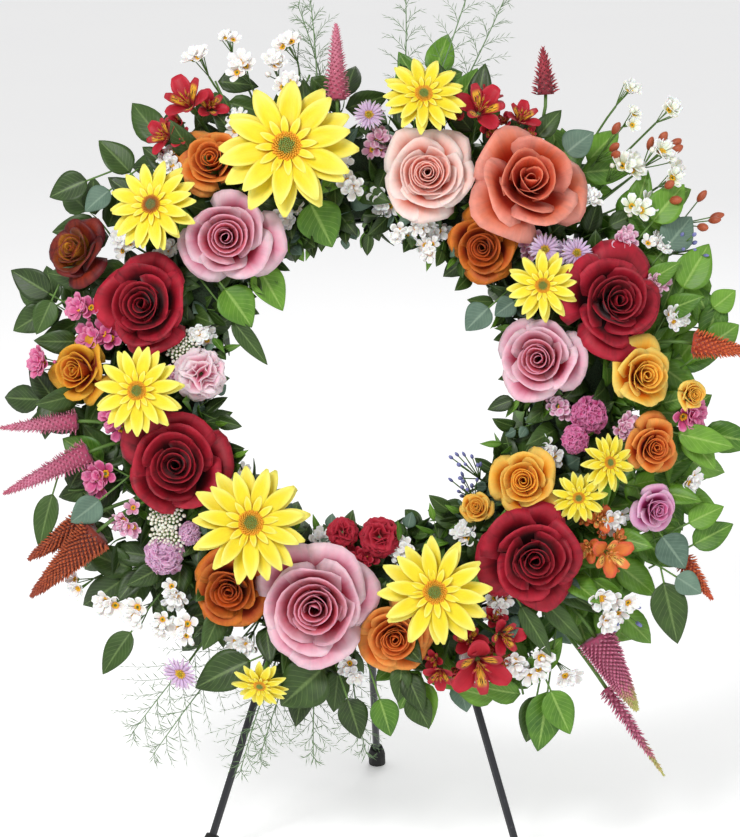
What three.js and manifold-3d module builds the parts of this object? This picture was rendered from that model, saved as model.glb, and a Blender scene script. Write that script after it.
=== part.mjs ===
// A standing funeral wreath: fresh flowers and greenery pushed into a ring of soaked floral foam, which
// sits in
// a plastic tray hooked onto a steel hoop, on a low tripod stand whose rear leg folds. Millimetres, +Z
// up, front at -Y.
import * as THREE from "three";
import { mergeVertices } from "three/addons/utils/BufferGeometryUtils.js";
import Module from "manifold-3d";

const wasm = await Module();
wasm.setup();

// ---- Driving dimensions -------------------------------------------------------------------------------
const LEAN = 15; // degrees that the wreath and the front legs lean back from upright
const RING_HEIGHT = 435; // height of the ring's centre above the floor
const FOAM = { outer: 227, inner: 155, back: 13.2, thick: 45, chamfer: 11, facets: 32 };
const CORE = (FOAM.outer + FOAM.inner) / 2; // radius of the circle through the middle of the foam
const TRAY = { outer: 230, inner: 152, back: 11, wall: 1.8, rim: 25, facets: 32 };
const ROD = 7; // diameter of the stand's steel rod
const HOOP = { radius: 190, rod: 6, facets: 32 };
const FRAME = { barHeight: -168, barHalf: 65, slope: 0.3, corner: 16 };
const REAR = { foot: 262, sleeve: 40, sleeveWall: 2.2, play: 0.4 }; // foot: distance behind the front feet
const BEND_LAP = 0.6; // how far a straight length of rod runs into the bend beside it
const STOP = { wire: 3, reach: 16 }; // the bracket behind the rear leg that stops it when it is open
const TIP = { radius: 8.5, length: 26, wall: 2.2 }; // rubber tips on the three feet
const STEM = 2.2; // radius of a flower's stem
const TWIG = 1.4; // radius of a side branch or a garland's binding wire
const GAP = 0.45; // clearance kept between neighbouring pieces
const STEM_DEPTH = 20; // how deep a stem is pushed into the foam
const FACING = 175; // a bloom this far outside the foam's core would face 45 degrees outwards
const BLADE = 1.1; // thickness of a leaf
const GARLAND = { radius: 235, lift: 29.5 }; // the wire that carries the leaves, round the foam's side

// ---- Small tools --------------------------------------------------------------------------------------
const rad = THREE.MathUtils.degToRad;
const UP = new THREE.Vector3(0, 1, 0);
const FRONT = new THREE.Vector3(0, 0, 1);

// A place on the wreath. clock: degrees clockwise from the top, reach: distance from the ring's centre,
// lift: height
// towards the front, above the plane of the front legs. Inside the leaning group x is right, y is up, z
// is front.
const place = (clock, reach, lift) =>
  new THREE.Vector3(reach * Math.sin(rad(clock)), reach * Math.cos(rad(clock)), lift);

// The way a bloom faces: to the front, turned outwards or inwards as it sits off the foam's core.
function facing(clock, reach, nod = [0, 0]) {
  const off = (reach - CORE) / FACING;
  return place(clock, off, 1).add(new THREE.Vector3(nod[0], nod[1], 0)).normalize();
}

// A closed manifold-3d solid from a three.js geometry.
function solid(geometry, matrix = new THREE.Matrix4()) {
  const bare = new THREE.BufferGeometry();
  bare.setAttribute("position", geometry.getAttribute("position").clone());
  if (geometry.index) bare.setIndex(geometry.index.clone());
  const merged = mergeVertices(bare.applyMatrix4(matrix), 1e-3);
  const triangles = [];
  const index = merged.index.array;
  for (let i = 0; i < index.length; i += 3) {
    const [a, b, c] = [index[i], index[i + 1], index[i + 2]];
    if (a !== b && b !== c && c !== a) triangles.push(a, b, c);
  }
  const build = (triVerts) =>
    new wasm.Manifold(
      new wasm.Mesh({ numProp: 3, vertProperties: merged.attributes.position.array, triVerts }),
    );
  const made = build(new Uint32Array(triangles));
  if (made.volume() > 0) return made;
  return build(new Uint32Array(triangles.reverse())); // the same triangles, turned inside out
}

const join = (solids) => solids.reduce((all, next) => all.add(next));

function geometryOf(manifold) {
  const mesh = manifold.getMesh();
  const positions = new Float32Array(mesh.numVert * 3);
  for (let i = 0; i < mesh.numVert; i++) {
    positions.set(mesh.vertProperties.subarray(i * mesh.numProp, i * mesh.numProp + 3), i * 3);
  }
  return new THREE.BufferGeometry()
    .setAttribute("position", new THREE.BufferAttribute(positions, 3))
    .setIndex(new THREE.BufferAttribute(mesh.triVerts, 1))
    .toNonIndexed();
}

// A regular polygon whose flats lie at the given radius from its middle.
function polygon(radius, sides) {
  const corner = radius / Math.cos(Math.PI / sides);
  const points = [];
  for (let i = 0; i < sides; i++) {
    const a = (2 * Math.PI * (i + 0.5)) / sides;
    points.push(new THREE.Vector2(corner * Math.cos(a), corner * Math.sin(a)));
  }
  return new THREE.Shape(points);
}

function tubeGeometry(curve, radius, sides, steps) {
  return new THREE.ExtrudeGeometry(polygon(radius, sides), { extrudePath: curve, steps, bevelEnabled: false });
}
const tube = (curve, radius, sides, steps) => solid(tubeGeometry(curve, radius, sides, steps));

const straight = (from, to, radius, sides = 5) => tube(new THREE.LineCurve3(from, to), radius, sides, 1);

// A round body about +Y from a profile of [radius, height] pairs, times a size.
function turned(profile, size, sides, matrix) {
  const points = profile.map(([r, h]) => new THREE.Vector2(r * size, h * size));
  return solid(new THREE.LatheGeometry(points, sides), matrix);
}

// The matrix that carries +Y to a direction and the origin to a point.
function pose(at, direction, roll = 0) {
  const turn = new THREE.Quaternion().setFromUnitVectors(UP, direction);
  turn.multiply(new THREE.Quaternion().setFromAxisAngle(UP, roll));
  return new THREE.Matrix4().compose(at, turn, new THREE.Vector3(1, 1, 1));
}

// ---- Materials ----------------------------------------------------------------------------------------
const finish = (color, roughness, metalness = 0) =>
  new THREE.MeshStandardMaterial({ color, roughness, metalness });
const MATERIALS = {
  steel: finish(0x2a2a2c, 0.45, 0.9),
  rubber: finish(0x1c1c1c, 0.85),
  tray: finish(0x24402a, 0.5),
  foam: finish(0x3f6b3a, 0.95),
  leaf: finish(0x3d6b2c, 0.6),
  fern: finish(0x4c6a45, 0.7),
  red: finish(0x9e1228, 0.6),
  pink: finish(0xe58aa4, 0.6),
  blush: finish(0xf6cfc6, 0.6),
  coral: finish(0xe2795a, 0.6),
  orange: finish(0xd9641c, 0.6),
  golden: finish(0xf0ad2c, 0.6),
  rust: finish(0x8c2b18, 0.6),
  lilac: finish(0xcf8fbd, 0.6),
  yellow: finish(0xf6d92e, 0.6),
  white: finish(0xf4efe4, 0.6),
  magenta: finish(0xb8336a, 0.6),
  plume: finish(0xb4502c, 0.8),
};

// ---- Flower heads: each has a flat round face at height 0 that looks along +Y -------------------------
const ROSE = [[0, -0.9], [0.2, -0.88], [0.7, -0.56], [0.86, -0.26], [0.6, 0], [0, 0]];
const CARNATION = [[0, -0.95], [0.24, -0.95], [0.36, -0.45], [0.9, -0.25], [0.7, 0], [0, 0]];
const FLORET = [[0, -0.9], [0.8, 0], [0, 0]];
const FUNNEL = [[0, -1.0], [0.14, -1.0], [0.42, -0.04], [0, -0.04]];
const CALYX = [[0, -0.3], [0.09, -0.3], [0.26, -0.03], [0, -0.03]];
const DISC = [[0, -0.03], [0.28, -0.03], [0.2, 0.09], [0, 0.09]];

// A flat star of petals, as thick as given, with its face at height 0.
function star(size, petals, valley, thick, matrix) {
  const points = [];
  for (let i = 0; i < 2 * petals; i++) {
    const r = i % 2 ? valley * size : size;
    const a = (Math.PI * i) / petals;
    points.push(new THREE.Vector2(r * Math.cos(a), r * Math.sin(a)));
  }
  const flat = new THREE.ExtrudeGeometry(new THREE.Shape(points), { depth: thick, bevelEnabled: false });
  flat.rotateX(Math.PI / 2); // the face that was at depth 0 now looks along +Y
  return solid(flat, matrix);
}

function gerberaHead(size, m) {
  return join([star(0.96 * size, 11, 0.66, 0.06 * size, m), turned(DISC, size, 7, m), turned(CALYX, size, 5, m)]);
}

const HEADS = {
  rose: (size, m) => turned(ROSE, size, 8, m),
  carnation: (size, m) => turned(CARNATION, size, 8, m),
  floret: (size, m) => turned(FLORET, size, 5, m),
  gerbera: gerberaHead,
  alstroemeria: (size, m) => join([star(0.96 * size, 6, 0.42, 0.09 * size, m), turned(FUNNEL, size, 5, m)]),
};
// How far behind its face a head's stem joins it, as a share of the head's size.
const NECK = { rose: 0.86, carnation: 0.9, floret: 0.75, gerbera: 0.26, alstroemeria: 0.95 };

// ---- Stems and leaves ---------------------------------------------------------------------------------
// Where a flower's stem ends inside the foam: near the core, but drawn a little towards the flower.
function rootOf(clock, reach) {
  const drawn = CORE + THREE.MathUtils.clamp(0.3 * (reach - CORE), -20, 22);
  return place(clock, drawn, FOAM.back + FOAM.thick - STEM_DEPTH);
}

// A stem from its root in the foam to the back of a head, arriving along the way that the head faces.
function stemCurve(root, at, direction, neck) {
  const end = at.clone().addScaledVector(direction, -neck);
  const bend = end.clone().addScaledVector(direction, -0.45 * end.distanceTo(root));
  return new THREE.QuadraticBezierCurve3(root, bend, end);
}

const STEM_STEPS = 3;
const stemTube = (curve, radius = STEM) => tube(curve, radius, 4, STEM_STEPS);

// A place on the straight lengths that a stem's tube is made of, with t from 0 to 1.
function onStem(curve, t) {
  const corners = curve.getSpacedPoints(STEM_STEPS);
  const at = t * STEM_STEPS;
  const i = Math.min(Math.floor(at), STEM_STEPS - 1);
  return corners[i].clone().lerp(corners[i + 1], at - i);
}

// The hole that a stem has made in the foam, a little wider and a little deeper than the stem.
function socketOf(curve) {
  const [start, way] = [curve.getPoint(0), curve.getTangent(0)];
  const geometry = tubeGeometry(curve, STEM + GAP, 4, STEM_STEPS);
  const corners = geometry.getAttribute("position");
  const corner = new THREE.Vector3();
  for (let i = 0; i < corners.count; i++) {
    corner.fromBufferAttribute(corners, i);
    if (corner.distanceTo(start) < 2 * (STEM + GAP)) corner.addScaledVector(way, -2 * GAP);
    corners.setXYZ(i, corner.x, corner.y, corner.z);
  }
  return solid(geometry);
}

// A straight side branch from a fork to the back of a head that looks along a direction.
const branchTo = (fork, at, direction, neck) =>
  straight(fork, at.clone().addScaledVector(direction, -neck), TWIG, 3);

// The first place along a stem that stands clear of the foam's front.
function forkOf(curve) {
  let t = 0.2;
  while (t < 0.9 && onStem(curve, t).z < FOAM.back + FOAM.thick + 7) t += 0.05;
  return onStem(curve, t);
}

// A leaf from a start point to its tip: a thin stalk, then a kite-shaped blade of the given length.
function leaf(start, tip, bladeLength, widthShare = 0.56, tilt = 0) {
  const length = start.distanceTo(tip);
  const stalk = Math.max(length - bladeLength, 2);
  const blade = length - stalk;
  const half = (widthShare * blade) / 2;
  const right = [[1.3, 0], [half, stalk + 0.42 * blade]];
  if (stalk > 0.2 * length) right.splice(1, 0, [1.3, stalk]);
  const outline = [...right, [0, length], ...right.map(([x, y]) => [-x, y]).reverse()];
  const shape = new THREE.Shape(outline.map(([x, y]) => new THREE.Vector2(x, y)));
  const flat = new THREE.ExtrudeGeometry(shape, { depth: BLADE, bevelEnabled: false });
  const along = tip.clone().sub(start).normalize();
  const across = new THREE.Vector3().crossVectors(along, FRONT).normalize();
  across.applyAxisAngle(along, rad(tilt));
  const normal = new THREE.Vector3().crossVectors(across, along);
  return solid(flat, new THREE.Matrix4().makeBasis(across, along, normal).setPosition(start));
}

// ---- The bouquet --------------------------------------------------------------------------------------
const wreath = new THREE.Group();
wreath.rotation.x = rad(90 - LEAN);
wreath.position.set(0, RING_HEIGHT * Math.tan(rad(LEAN)), RING_HEIGHT);
const sockets = [];

// Adds a solid that was made in the wreath's frame as a mesh with a place and a turn of its own.
function add(name, manifold, material, at = new THREE.Vector3(), direction = UP) {
  const own = pose(at, direction);
  const mesh = new THREE.Mesh(geometryOf(manifold).applyMatrix4(own.clone().invert()), MATERIALS[material]);
  mesh.name = name;
  own.decompose(mesh.position, mesh.quaternion, mesh.scale);
  wreath.add(mesh);
}

// One flower: its head, its stem down into the foam, any leaves that grow on the stem, and any side heads.
// A leaf is [clock, reach, lift] of its tip and the blade's length. A side head is another head on the
// same stem.
function flower({ name, kind, color, at: [clock, reach, lift], size, nod, leaves = [], sides = [] }) {
  const centre = place(clock, reach, lift);
  const direction = facing(clock, reach, nod);
  const stem = stemCurve(rootOf(clock, reach), centre, direction, NECK[kind] * size);
  sockets.push(socketOf(stem));
  const parts = [HEADS[kind](size, pose(centre, direction, rad(clock))), stemTube(stem)];
  const fork = forkOf(stem);
  for (const [leafClock, leafReach, leafLift, blade] of leaves) {
    parts.push(leaf(fork, place(leafClock, leafReach, leafLift), blade));
  }
  for (const side of sides) {
    const sideCentre = place(...side.at);
    const sideWay = facing(side.at[0], side.at[1], side.nod);
    const sideKind = side.kind ?? kind;
    parts.push(HEADS[sideKind](side.size, pose(sideCentre, sideWay)));
    parts.push(branchTo(fork, sideCentre, sideWay, 0.9 * NECK[sideKind] * side.size));
  }
  add(name, join(parts), color, centre, direction);
}

const rose = (name, color, at, size, more = {}) => ({ name, kind: "rose", color, at, size, ...more });
const gerbera = (name, at, size, more = {}) => ({
  name, kind: "gerbera", color: "yellow", at, size, ...more,
});
const lily = (name, at, size, sides = [], more = {}) => ({
  name, kind: "alstroemeria", color: "red", at, size, sides, ...more,
});

const FLOWERS = [
  rose("pink_rose_upper_left", "pink", [316, 182, 113], 46, {
    leaves: [[300, 126, 82, 46], [286, 108, 66, 44], [344, 136, 84, 44]],
  }),
  rose("red_rose_upper_left", "red", [289, 215, 110], 48, { leaves: [[276, 158, 84, 44]] }),
  rose("red_rose_lower_left", "red", [246, 186, 112], 52, {
    leaves: [[262, 128, 74, 40], [250, 122, 62, 36]],
  }),
  rose("pink_rose_bottom", "pink", [191.5, 208, 118], 59),
  rose("red_rose_lower_right", "red", [135, 223, 112], 50, { leaves: [[146, 132, 74, 40]] }),
  rose("red_rose_right", "red", [71, 243, 112], 50),
  rose("coral_rose_upper_right", "coral", [38.5, 240, 118], 57),
  rose("blush_rose_top", "blush", [16, 199, 110], 42),
  rose("orange_rose_inner_right", "orange", [40, 163, 98], 35, { leaves: [[57, 108, 80, 30]] }),
  rose("pink_rose_right", "pink", [81, 158, 108], 42, { leaves: [[104, 118, 74, 40], [112, 104, 62, 34]] }),
  rose("apricot_rose_right", "golden", [87.5, 256, 102], 34, {
    sides: [{ at: [91, 300, 84], size: 17, kind: "rose" }],
  }),
  rose("orange_rose_right", "orange", [101.5, 271, 92], 27),
  rose("golden_rose_right", "golden", [120.5, 168, 104], 32, {
    sides: [{ at: [137, 150, 86], size: 15, kind: "floret" }],
    leaves: [[110, 120, 84, 36]],
  }),
  rose("orange_rose_upper_left", "orange", [325, 250, 94], 35),
  rose("orange_rose_lower_left", "orange", [212.5, 226, 96], 38),
  rose("orange_rose_bottom", "orange", [172.5, 234, 92], 36),
  rose("rust_rose_left", "rust", [294, 299, 84], 31),
  rose("amber_rose_left", "golden", [272, 269, 84], 32, { nod: [-0.2, 0] }),
  rose("lilac_rose_right", "lilac", [112.5, 291, 84], 23),
  gerbera("gerbera_upper_left_large", [341.5, 223, 130], 62, { nod: [0.05, 0] }),
  gerbera("gerbera_upper_left", [309.5, 250, 118], 42),
  gerbera("gerbera_left", [267.5, 203, 126], 41),
  gerbera("gerbera_lower_left", [218, 161, 128], 54, { nod: [0.06, 0.1] }),
  gerbera("gerbera_bottom", [160, 197, 128], 50),
  gerbera("gerbera_top", [11, 266, 112], 38),
  gerbera("gerbera_right", [60.5, 184, 112], 32),
  gerbera("gerberas_far_right", [107, 232, 108], 27, {
    nod: [0.35, 0.2],
    sides: [{ at: [117, 219, 96], size: 26, nod: [-0.1, -0.3] }],
  }),
  gerbera("gerbera_bottom_left_small", [198.5, 290, 84], 27, { nod: [0, -0.3] }),
  lily("alstroemeria_upper_left", [327, 309, 82], 28, [{ at: [320, 296, 74], size: 21, nod: [-0.4, -0.2] }]),
  lily("alstroemeria_top", [22, 274, 94], 28, [{ at: [29.5, 284, 76], size: 20, nod: [0.1, 0.3] }]),
  lily("alstroemeria_bottom", [157, 278, 92], 32, [
    { at: [150, 262, 84], size: 22, nod: [0.4, 0.2] },
    { at: [165, 274, 76], size: 18, nod: [-0.3, -0.3] },
  ]),
  lily("alstroemeria_right", [124, 272, 88], 24, [{ at: [119, 246, 80], size: 16, nod: [0, 0.3] }], {
    color: "rust",
  }),
  { name: "carnation_left", kind: "carnation", color: "pink", at: [273, 147, 94], size: 24,
    sides: [{ at: [282, 152, 88], size: 15, kind: "floret" }] },
  { name: "carnation_bottom", kind: "carnation", color: "red", at: [174, 136, 84], size: 19,
    sides: [{ at: [188, 134, 82], size: 14, kind: "floret" }] },
  { name: "stock_lower_left", kind: "carnation", color: "lilac", at: [229, 246, 88], size: 24,
    sides: [
      { at: [234, 262, 76], size: 16 },
      { at: [224, 260, 80], size: 14 },
      { at: [229, 212, 88], size: 14, kind: "floret" },
    ] },
  { name: "stock_right", kind: "carnation", color: "magenta", at: [97, 207, 92], size: 22,
    sides: [{ at: [104, 198, 100], size: 17, kind: "floret" }] },
];

// A spray of small blooms: one stem from the foam to a fork, and a branch from the fork to each bloom.
function spray({ name, color, fork: [clock, reach, lift], blooms, leaves = [] }) {
  const fork = place(clock, reach, lift);
  const root = rootOf(clock, reach);
  const bend = place(clock, Math.hypot(root.x, root.y), lift);
  const stem = new THREE.QuadraticBezierCurve3(root, bend, fork);
  sockets.push(socketOf(stem));
  const parts = [stemTube(stem)];
  const knot = onStem(stem, 0.95);
  for (const [bloomClock, bloomReach, bloomLift, size] of blooms) {
    const centre = place(bloomClock, bloomReach, bloomLift);
    const way = facing(bloomClock, bloomReach);
    parts.push(HEADS.floret(size, pose(centre, way)), branchTo(knot, centre, way, NECK.floret * size));
  }
  for (const [leafClock, leafReach, leafLift, blade] of leaves) {
    parts.push(leaf(fork, place(leafClock, leafReach, leafLift), blade));
  }
  add(name, join(parts), color, fork, facing(clock, reach));
}

// Blooms are [clock, reach, lift, size]: the larger ones are small daisies, the rest clusters of waxflower.
const SPRAYS = [
  { name: "waxflower_upper_left", color: "white", fork: [340, 262, 66],
    blooms: [[332, 338, 62, 12], [338, 316, 66, 13], [343, 308, 70, 12], [347, 322, 60, 12],
      [337, 345, 52, 9], [345, 286, 74, 12]] },
  { name: "waxflower_upper_right", color: "white", fork: [50, 266, 70],
    blooms: [[41, 360, 62, 11], [44, 346, 66, 9], [47, 376, 56, 11], [51, 342, 66, 14],
      [55, 340, 62, 12], [57, 296, 76, 14], [49, 306, 70, 15]],
    leaves: [[61, 360, 70, 24]] },
  { name: "daisy_spray_upper_right", color: "white", fork: [56, 214, 74],
    blooms: [[52.5, 204, 92, 15], [57.5, 226, 90, 15]] },
  { name: "waxflower_lower_left", color: "white", fork: [222, 262, 64],
    blooms: [[229, 316, 60, 13], [234, 326, 56, 11], [224, 300, 66, 13], [215, 282, 72, 13],
      [220, 290, 70, 11], [212, 316, 62, 18]] },
  { name: "waxflower_lower_right", color: "white", fork: [143, 270, 80],
    blooms: [[148, 304, 64, 13], [145, 322, 60, 12], [151, 290, 66, 12], [131, 290, 82, 14],
      [129, 310, 76, 13], [134, 306, 80, 11]] },
  { name: "waxflower_inner_top", color: "white", fork: [3, 188, 76],
    blooms: [[0, 246, 78, 15], [11, 138, 74, 11], [25, 134, 72, 10], [17, 150, 78, 10],
      [356, 178, 96, 12]] },
];

// A flower spike or plume: a tapering body from a flat base to its tip, on a stem from the foam.
const SPIKE = [[0, 0], [1, 0], [1.1, 0.25], [0.92, 0.55], [0.6, 0.82], [0, 1]];
function spikeBody(base, tip, radius) {
  const length = base.distanceTo(tip);
  const profile = SPIKE.map(([r, h]) => [r * radius, h * length]);
  return turned(profile, 1, 7, pose(base, tip.clone().sub(base).normalize()));
}

function spikes({ name, color, bodies, leaves = [] }) {
  const parts = [];
  const [firstBase, firstTip] = bodies[0];
  const root = rootOf(firstBase[0], firstBase[1]);
  const way = place(...firstTip).sub(place(...firstBase)).normalize();
  const stem = stemCurve(root, place(...firstBase), way, -1);
  sockets.push(socketOf(stem));
  parts.push(stemTube(stem));
  const fork = forkOf(stem);
  bodies.forEach(([base, tip, radius], i) => {
    const [from, to] = [place(...base), place(...tip)];
    parts.push(spikeBody(from, to, radius));
    if (i) parts.push(branchTo(fork, from, to.clone().sub(from).normalize(), -1));
  });
  for (const [leafClock, leafReach, leafLift, blade] of leaves) {
    parts.push(leaf(fork, place(leafClock, leafReach, leafLift), blade));
  }
  add(name, join(parts), color, place(...firstBase), way);
}

// Bodies are [base, tip, radius], with base and tip as [clock, reach, lift].
const SPIKES = [
  { name: "veronica_spike_top", color: "magenta", bodies: [[[353.5, 262, 74], [354.5, 332, 70], 11]] },
  { name: "veronica_spikes_left", color: "magenta",
    bodies: [[[255.5, 262, 72], [252.5, 350, 68], 12], [[262, 268, 68], [262.5, 340, 66], 10]] },
  { name: "celosia_spike_top_right", color: "red", bodies: [[[31, 312, 62], [27, 347, 66], 10]] },
  { name: "amaranth_lower_right", color: "magenta",
    bodies: [[[137, 312, 58], [139.5, 388, 52], 18], [[141, 356, 36], [142, 452, 40], 5]] },
  { name: "celosia_plumes_left", color: "plume",
    bodies: [[[240.5, 282, 70], [237, 366, 62], 17], [[243.5, 284, 58], [242, 352, 54], 13]] },
  { name: "celosia_plumes_right", color: "plume",
    bodies: [[[82, 300, 66], [84.5, 354, 66], 12], [[118, 330, 50], [121, 372, 50], 8]] },
];

// ---- Greenery: garlands of leaves on a binding wire round the foam's side -----------------------------
class RingArc extends THREE.Curve {
  constructor(from, to, radius, lift) {
    super();
    Object.assign(this, { from, to, radius, lift });
  }
  getPoint(t, target = new THREE.Vector3()) {
    return target.copy(place(this.from + t * (this.to - this.from), this.radius, this.lift));
  }
}

// Leaves are [clock on the wire, clock of the tip, reach of the tip, lift of the tip, blade length, tilt].
function garland({ name, from, to, leaves, blooms = [] }) {
  const wire = new RingArc(from, to, GARLAND.radius, GARLAND.lift);
  const parts = [tube(wire, TWIG, 3, 10)];
  for (const [clock, tipClock, reach, lift, blade, tilt = 0, width = 0.56] of leaves) {
    const start = place(clock, GARLAND.radius, GARLAND.lift);
    parts.push(leaf(start, place(tipClock, reach, lift), blade, width, tilt));
  }
  for (const [clock, reach, lift, size] of blooms) {
    const centre = place(clock, reach, lift);
    const way = facing(clock, reach);
    const start = place(clock, GARLAND.radius, GARLAND.lift);
    parts.push(HEADS.floret(size, pose(centre, way)), branchTo(start, centre, way, NECK.floret * size));
  }
  add(name, join(parts), "leaf", place((from + to) / 2, GARLAND.radius, GARLAND.lift));
}

const GARLANDS = [
  { name: "garland_upper_left", from: 273, to: 356,
    leaves: [[279, 285, 345, 40, 60], [276, 279, 338, 44, 56], [287, 291, 322, 56, 46],
      [297, 302, 342, 48, 56],
      [301, 306, 314, 60, 40], [309, 311, 326, 52, 54], [313, 317, 302, 66, 44], [318, 319, 336, 42, 40],
      [327, 331, 312, 40, 44], [335, 332, 345, 40, 42], [345, 350, 322, 50, 44], [352, 356, 300, 56, 40]],
    blooms: [[307, 312, 66, 12], [299, 290, 62, 10]] },
  { name: "garland_upper_right", from: 4, to: 87,
    leaves: [[5, 4, 340, 54, 66, 0, 0.34], [8, 12, 326, 48, 56, 0, 0.4], [14, 18, 300, 56, 40],
      [22, 20, 318, 44, 40],
      [30, 36, 366, 42, 62], [34, 34.5, 322, 38, 40], [36, 39.5, 322, 66, 44], [44, 43, 330, 44, 44],
      [55, 58, 344, 62, 58], [60, 64, 338, 56, 48], [66, 69.5, 346, 60, 54], [73, 76, 352, 54, 30],
      [76, 81.5, 350, 52, 32], [72, 73, 322, 44, 44], [84, 84, 318, 48, 44],
      [10, 13.5, 366, 44, 116, 0, 0.3], [6, 358, 352, 40, 100, 0, 0.36]],
    blooms: [[24.5, 304, 70, 11], [36.5, 306, 62, 11]] },
  { name: "garland_lower_right", from: 93, to: 176,
    leaves: [[95, 97.5, 350, 62, 66, 0, 0.44], [99, 103, 332, 50, 52], [106, 109, 338, 56, 46],
      [111, 113.5, 362, 56, 56],
      [117, 119, 322, 62, 40], [121, 128.5, 372, 58, 74], [124, 124.5, 318, 66, 38],
        [130, 131, 352, 48, 44],
      [138, 133.5, 330, 37, 40], [147, 150, 350, 46, 46], [150, 153, 352, 56, 46],
        [155, 157, 350, 48, 50, 0, 0.36],
      [160, 163, 320, 54, 44], [167, 169, 316, 62, 44], [171, 174, 318, 60, 46]] },
  { name: "garland_lower_left", from: 184, to: 267,
    leaves: [[189, 187, 352, 34, 100, 0, 0.3], [193, 193.5, 372, 30, 118, 0, 0.3],
      [198, 200, 405, 28, 130, 0, 0.3],
      [204, 206, 424, 32, 150, 0, 0.3], [185, 182, 306, 62, 50], [190, 191, 312, 64, 52],
        [209, 208, 320, 52, 44], [217, 222, 352, 50, 62], [221, 216, 318, 56, 44],
        [229, 231, 330, 44, 46],
      [238, 236, 322, 40, 44], [245, 247.5, 342, 54, 54, 0, 0.44], [249, 250, 316, 48, 34],
        [252, 255, 296, 50, 44],
      [264, 267, 340, 46, 46], [261, 271, 322, 44, 40]] },
];

FLOWERS.forEach(flower);
SPRAYS.forEach(spray);
SPIKES.forEach(spikes);
GARLANDS.forEach(garland);

// ---- Foam ring and its tray ---------------------------------------------------------------------------
// A ring about z from a closed profile of [radius, lift] points.
function ring(profile, facets) {
  const closed = [...profile, profile[0]].map(([r, z]) => new THREE.Vector2(r, z));
  return solid(new THREE.LatheGeometry(closed, facets), new THREE.Matrix4().makeRotationX(Math.PI / 2));
}

const foamFront = FOAM.back + FOAM.thick;
const foam = ring(
  [
    [FOAM.inner, FOAM.back], [FOAM.outer, FOAM.back], [FOAM.outer, foamFront - FOAM.chamfer],
    [FOAM.outer - FOAM.chamfer, foamFront], [FOAM.inner + FOAM.chamfer, foamFront],
      [FOAM.inner, foamFront - FOAM.chamfer],
  ],
  FOAM.facets,
);
add("foam_ring", sockets.reduce((left, hole) => left.subtract(hole), foam), "foam");

const { outer: trayOuter, inner: trayInner, back: trayBack, wall: trayWall, rim: trayRim } = TRAY;
add(
  "foam_tray",
  ring(
    [
      [trayInner, trayBack], [trayOuter, trayBack], [trayOuter, trayRim], [trayOuter - trayWall, trayRim],
      [trayOuter - trayWall, trayBack + trayWall], [trayInner + trayWall, trayBack + trayWall],
      [trayInner + trayWall, trayRim], [trayInner, trayRim],
    ],
    TRAY.facets,
  ),
  "tray",
);

// ---- Hoop with four hooks that hold the tray by its rims ----------------------------------------------
const hoopLift = ROD / 2 + HOOP.rod / 2 + GAP;
const hoop = solid(
  new THREE.TorusGeometry(HOOP.radius, HOOP.rod / 2, 6, HOOP.facets),
  new THREE.Matrix4().setPosition(0, 0, hoopLift),
);

// A flat steel strip, bent from the hoop out past the tray's side and in over its rim.
function trayHook(clock) {
  const strip = { width: 12, thick: 2.2, lip: 1.3 };
  const out = TRAY.outer + GAP + strip.thick;
  const bottom = trayBack - GAP - strip.thick;
  const top = TRAY.rim + GAP;
  const outline = [
    [HOOP.radius - 2, bottom], [out, bottom], [out, top + strip.thick],
      [TRAY.outer - strip.lip, top + strip.thick],
    [TRAY.outer - strip.lip, top], [out - strip.thick, top], [out - strip.thick, bottom + strip.thick],
    [HOOP.radius - 2, bottom + strip.thick],
  ].map(([r, z]) => new THREE.Vector2(r, z));
  const flat = new THREE.ExtrudeGeometry(new THREE.Shape(outline), { depth: strip.width, bevelEnabled: false });
  const outward = place(clock, 1, 0);
  const along = new THREE.Vector3().crossVectors(outward, FRONT);
  const start = along.clone().multiplyScalar(-strip.width / 2);
  return solid(flat, new THREE.Matrix4().makeBasis(outward, FRONT, along).setPosition(start));
}
add("wreath_hoop", join([hoop, ...[0, 90, 180, 270].map(trayHook)]), "steel");

// ---- Where the rear leg goes, in the stand's own frame: origin between the front feet, x right, y
// back, z up
const hinge = new THREE.Vector3(0, FRAME.barHeight, 0).applyEuler(wreath.rotation).add(wreath.position);
const rearFoot = new THREE.Vector3(0, REAR.foot, 0);
const rearWay = rearFoot.clone().sub(hinge).normalize();
const rearUpper = new THREE.Vector3(0, -rearWay.z, rearWay.y); // square to the leg, on its upper side

const stand = new THREE.Group();
function addToStand(name, manifold, material) {
  const mesh = new THREE.Mesh(geometryOf(manifold), MATERIALS[material]);
  mesh.name = name;
  stand.add(mesh);
}

// ---- Front frame: two legs and the bar between them, bent from one rod --------------------------------
const floorLine = -RING_HEIGHT / Math.cos(rad(LEAN)); // where the leaning plane meets the floor
const legEnd = floorLine + 9; // the rods end inside their rubber tips
const legX = (y) => FRAME.barHalf + FRAME.slope * (FRAME.barHeight - y);

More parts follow.
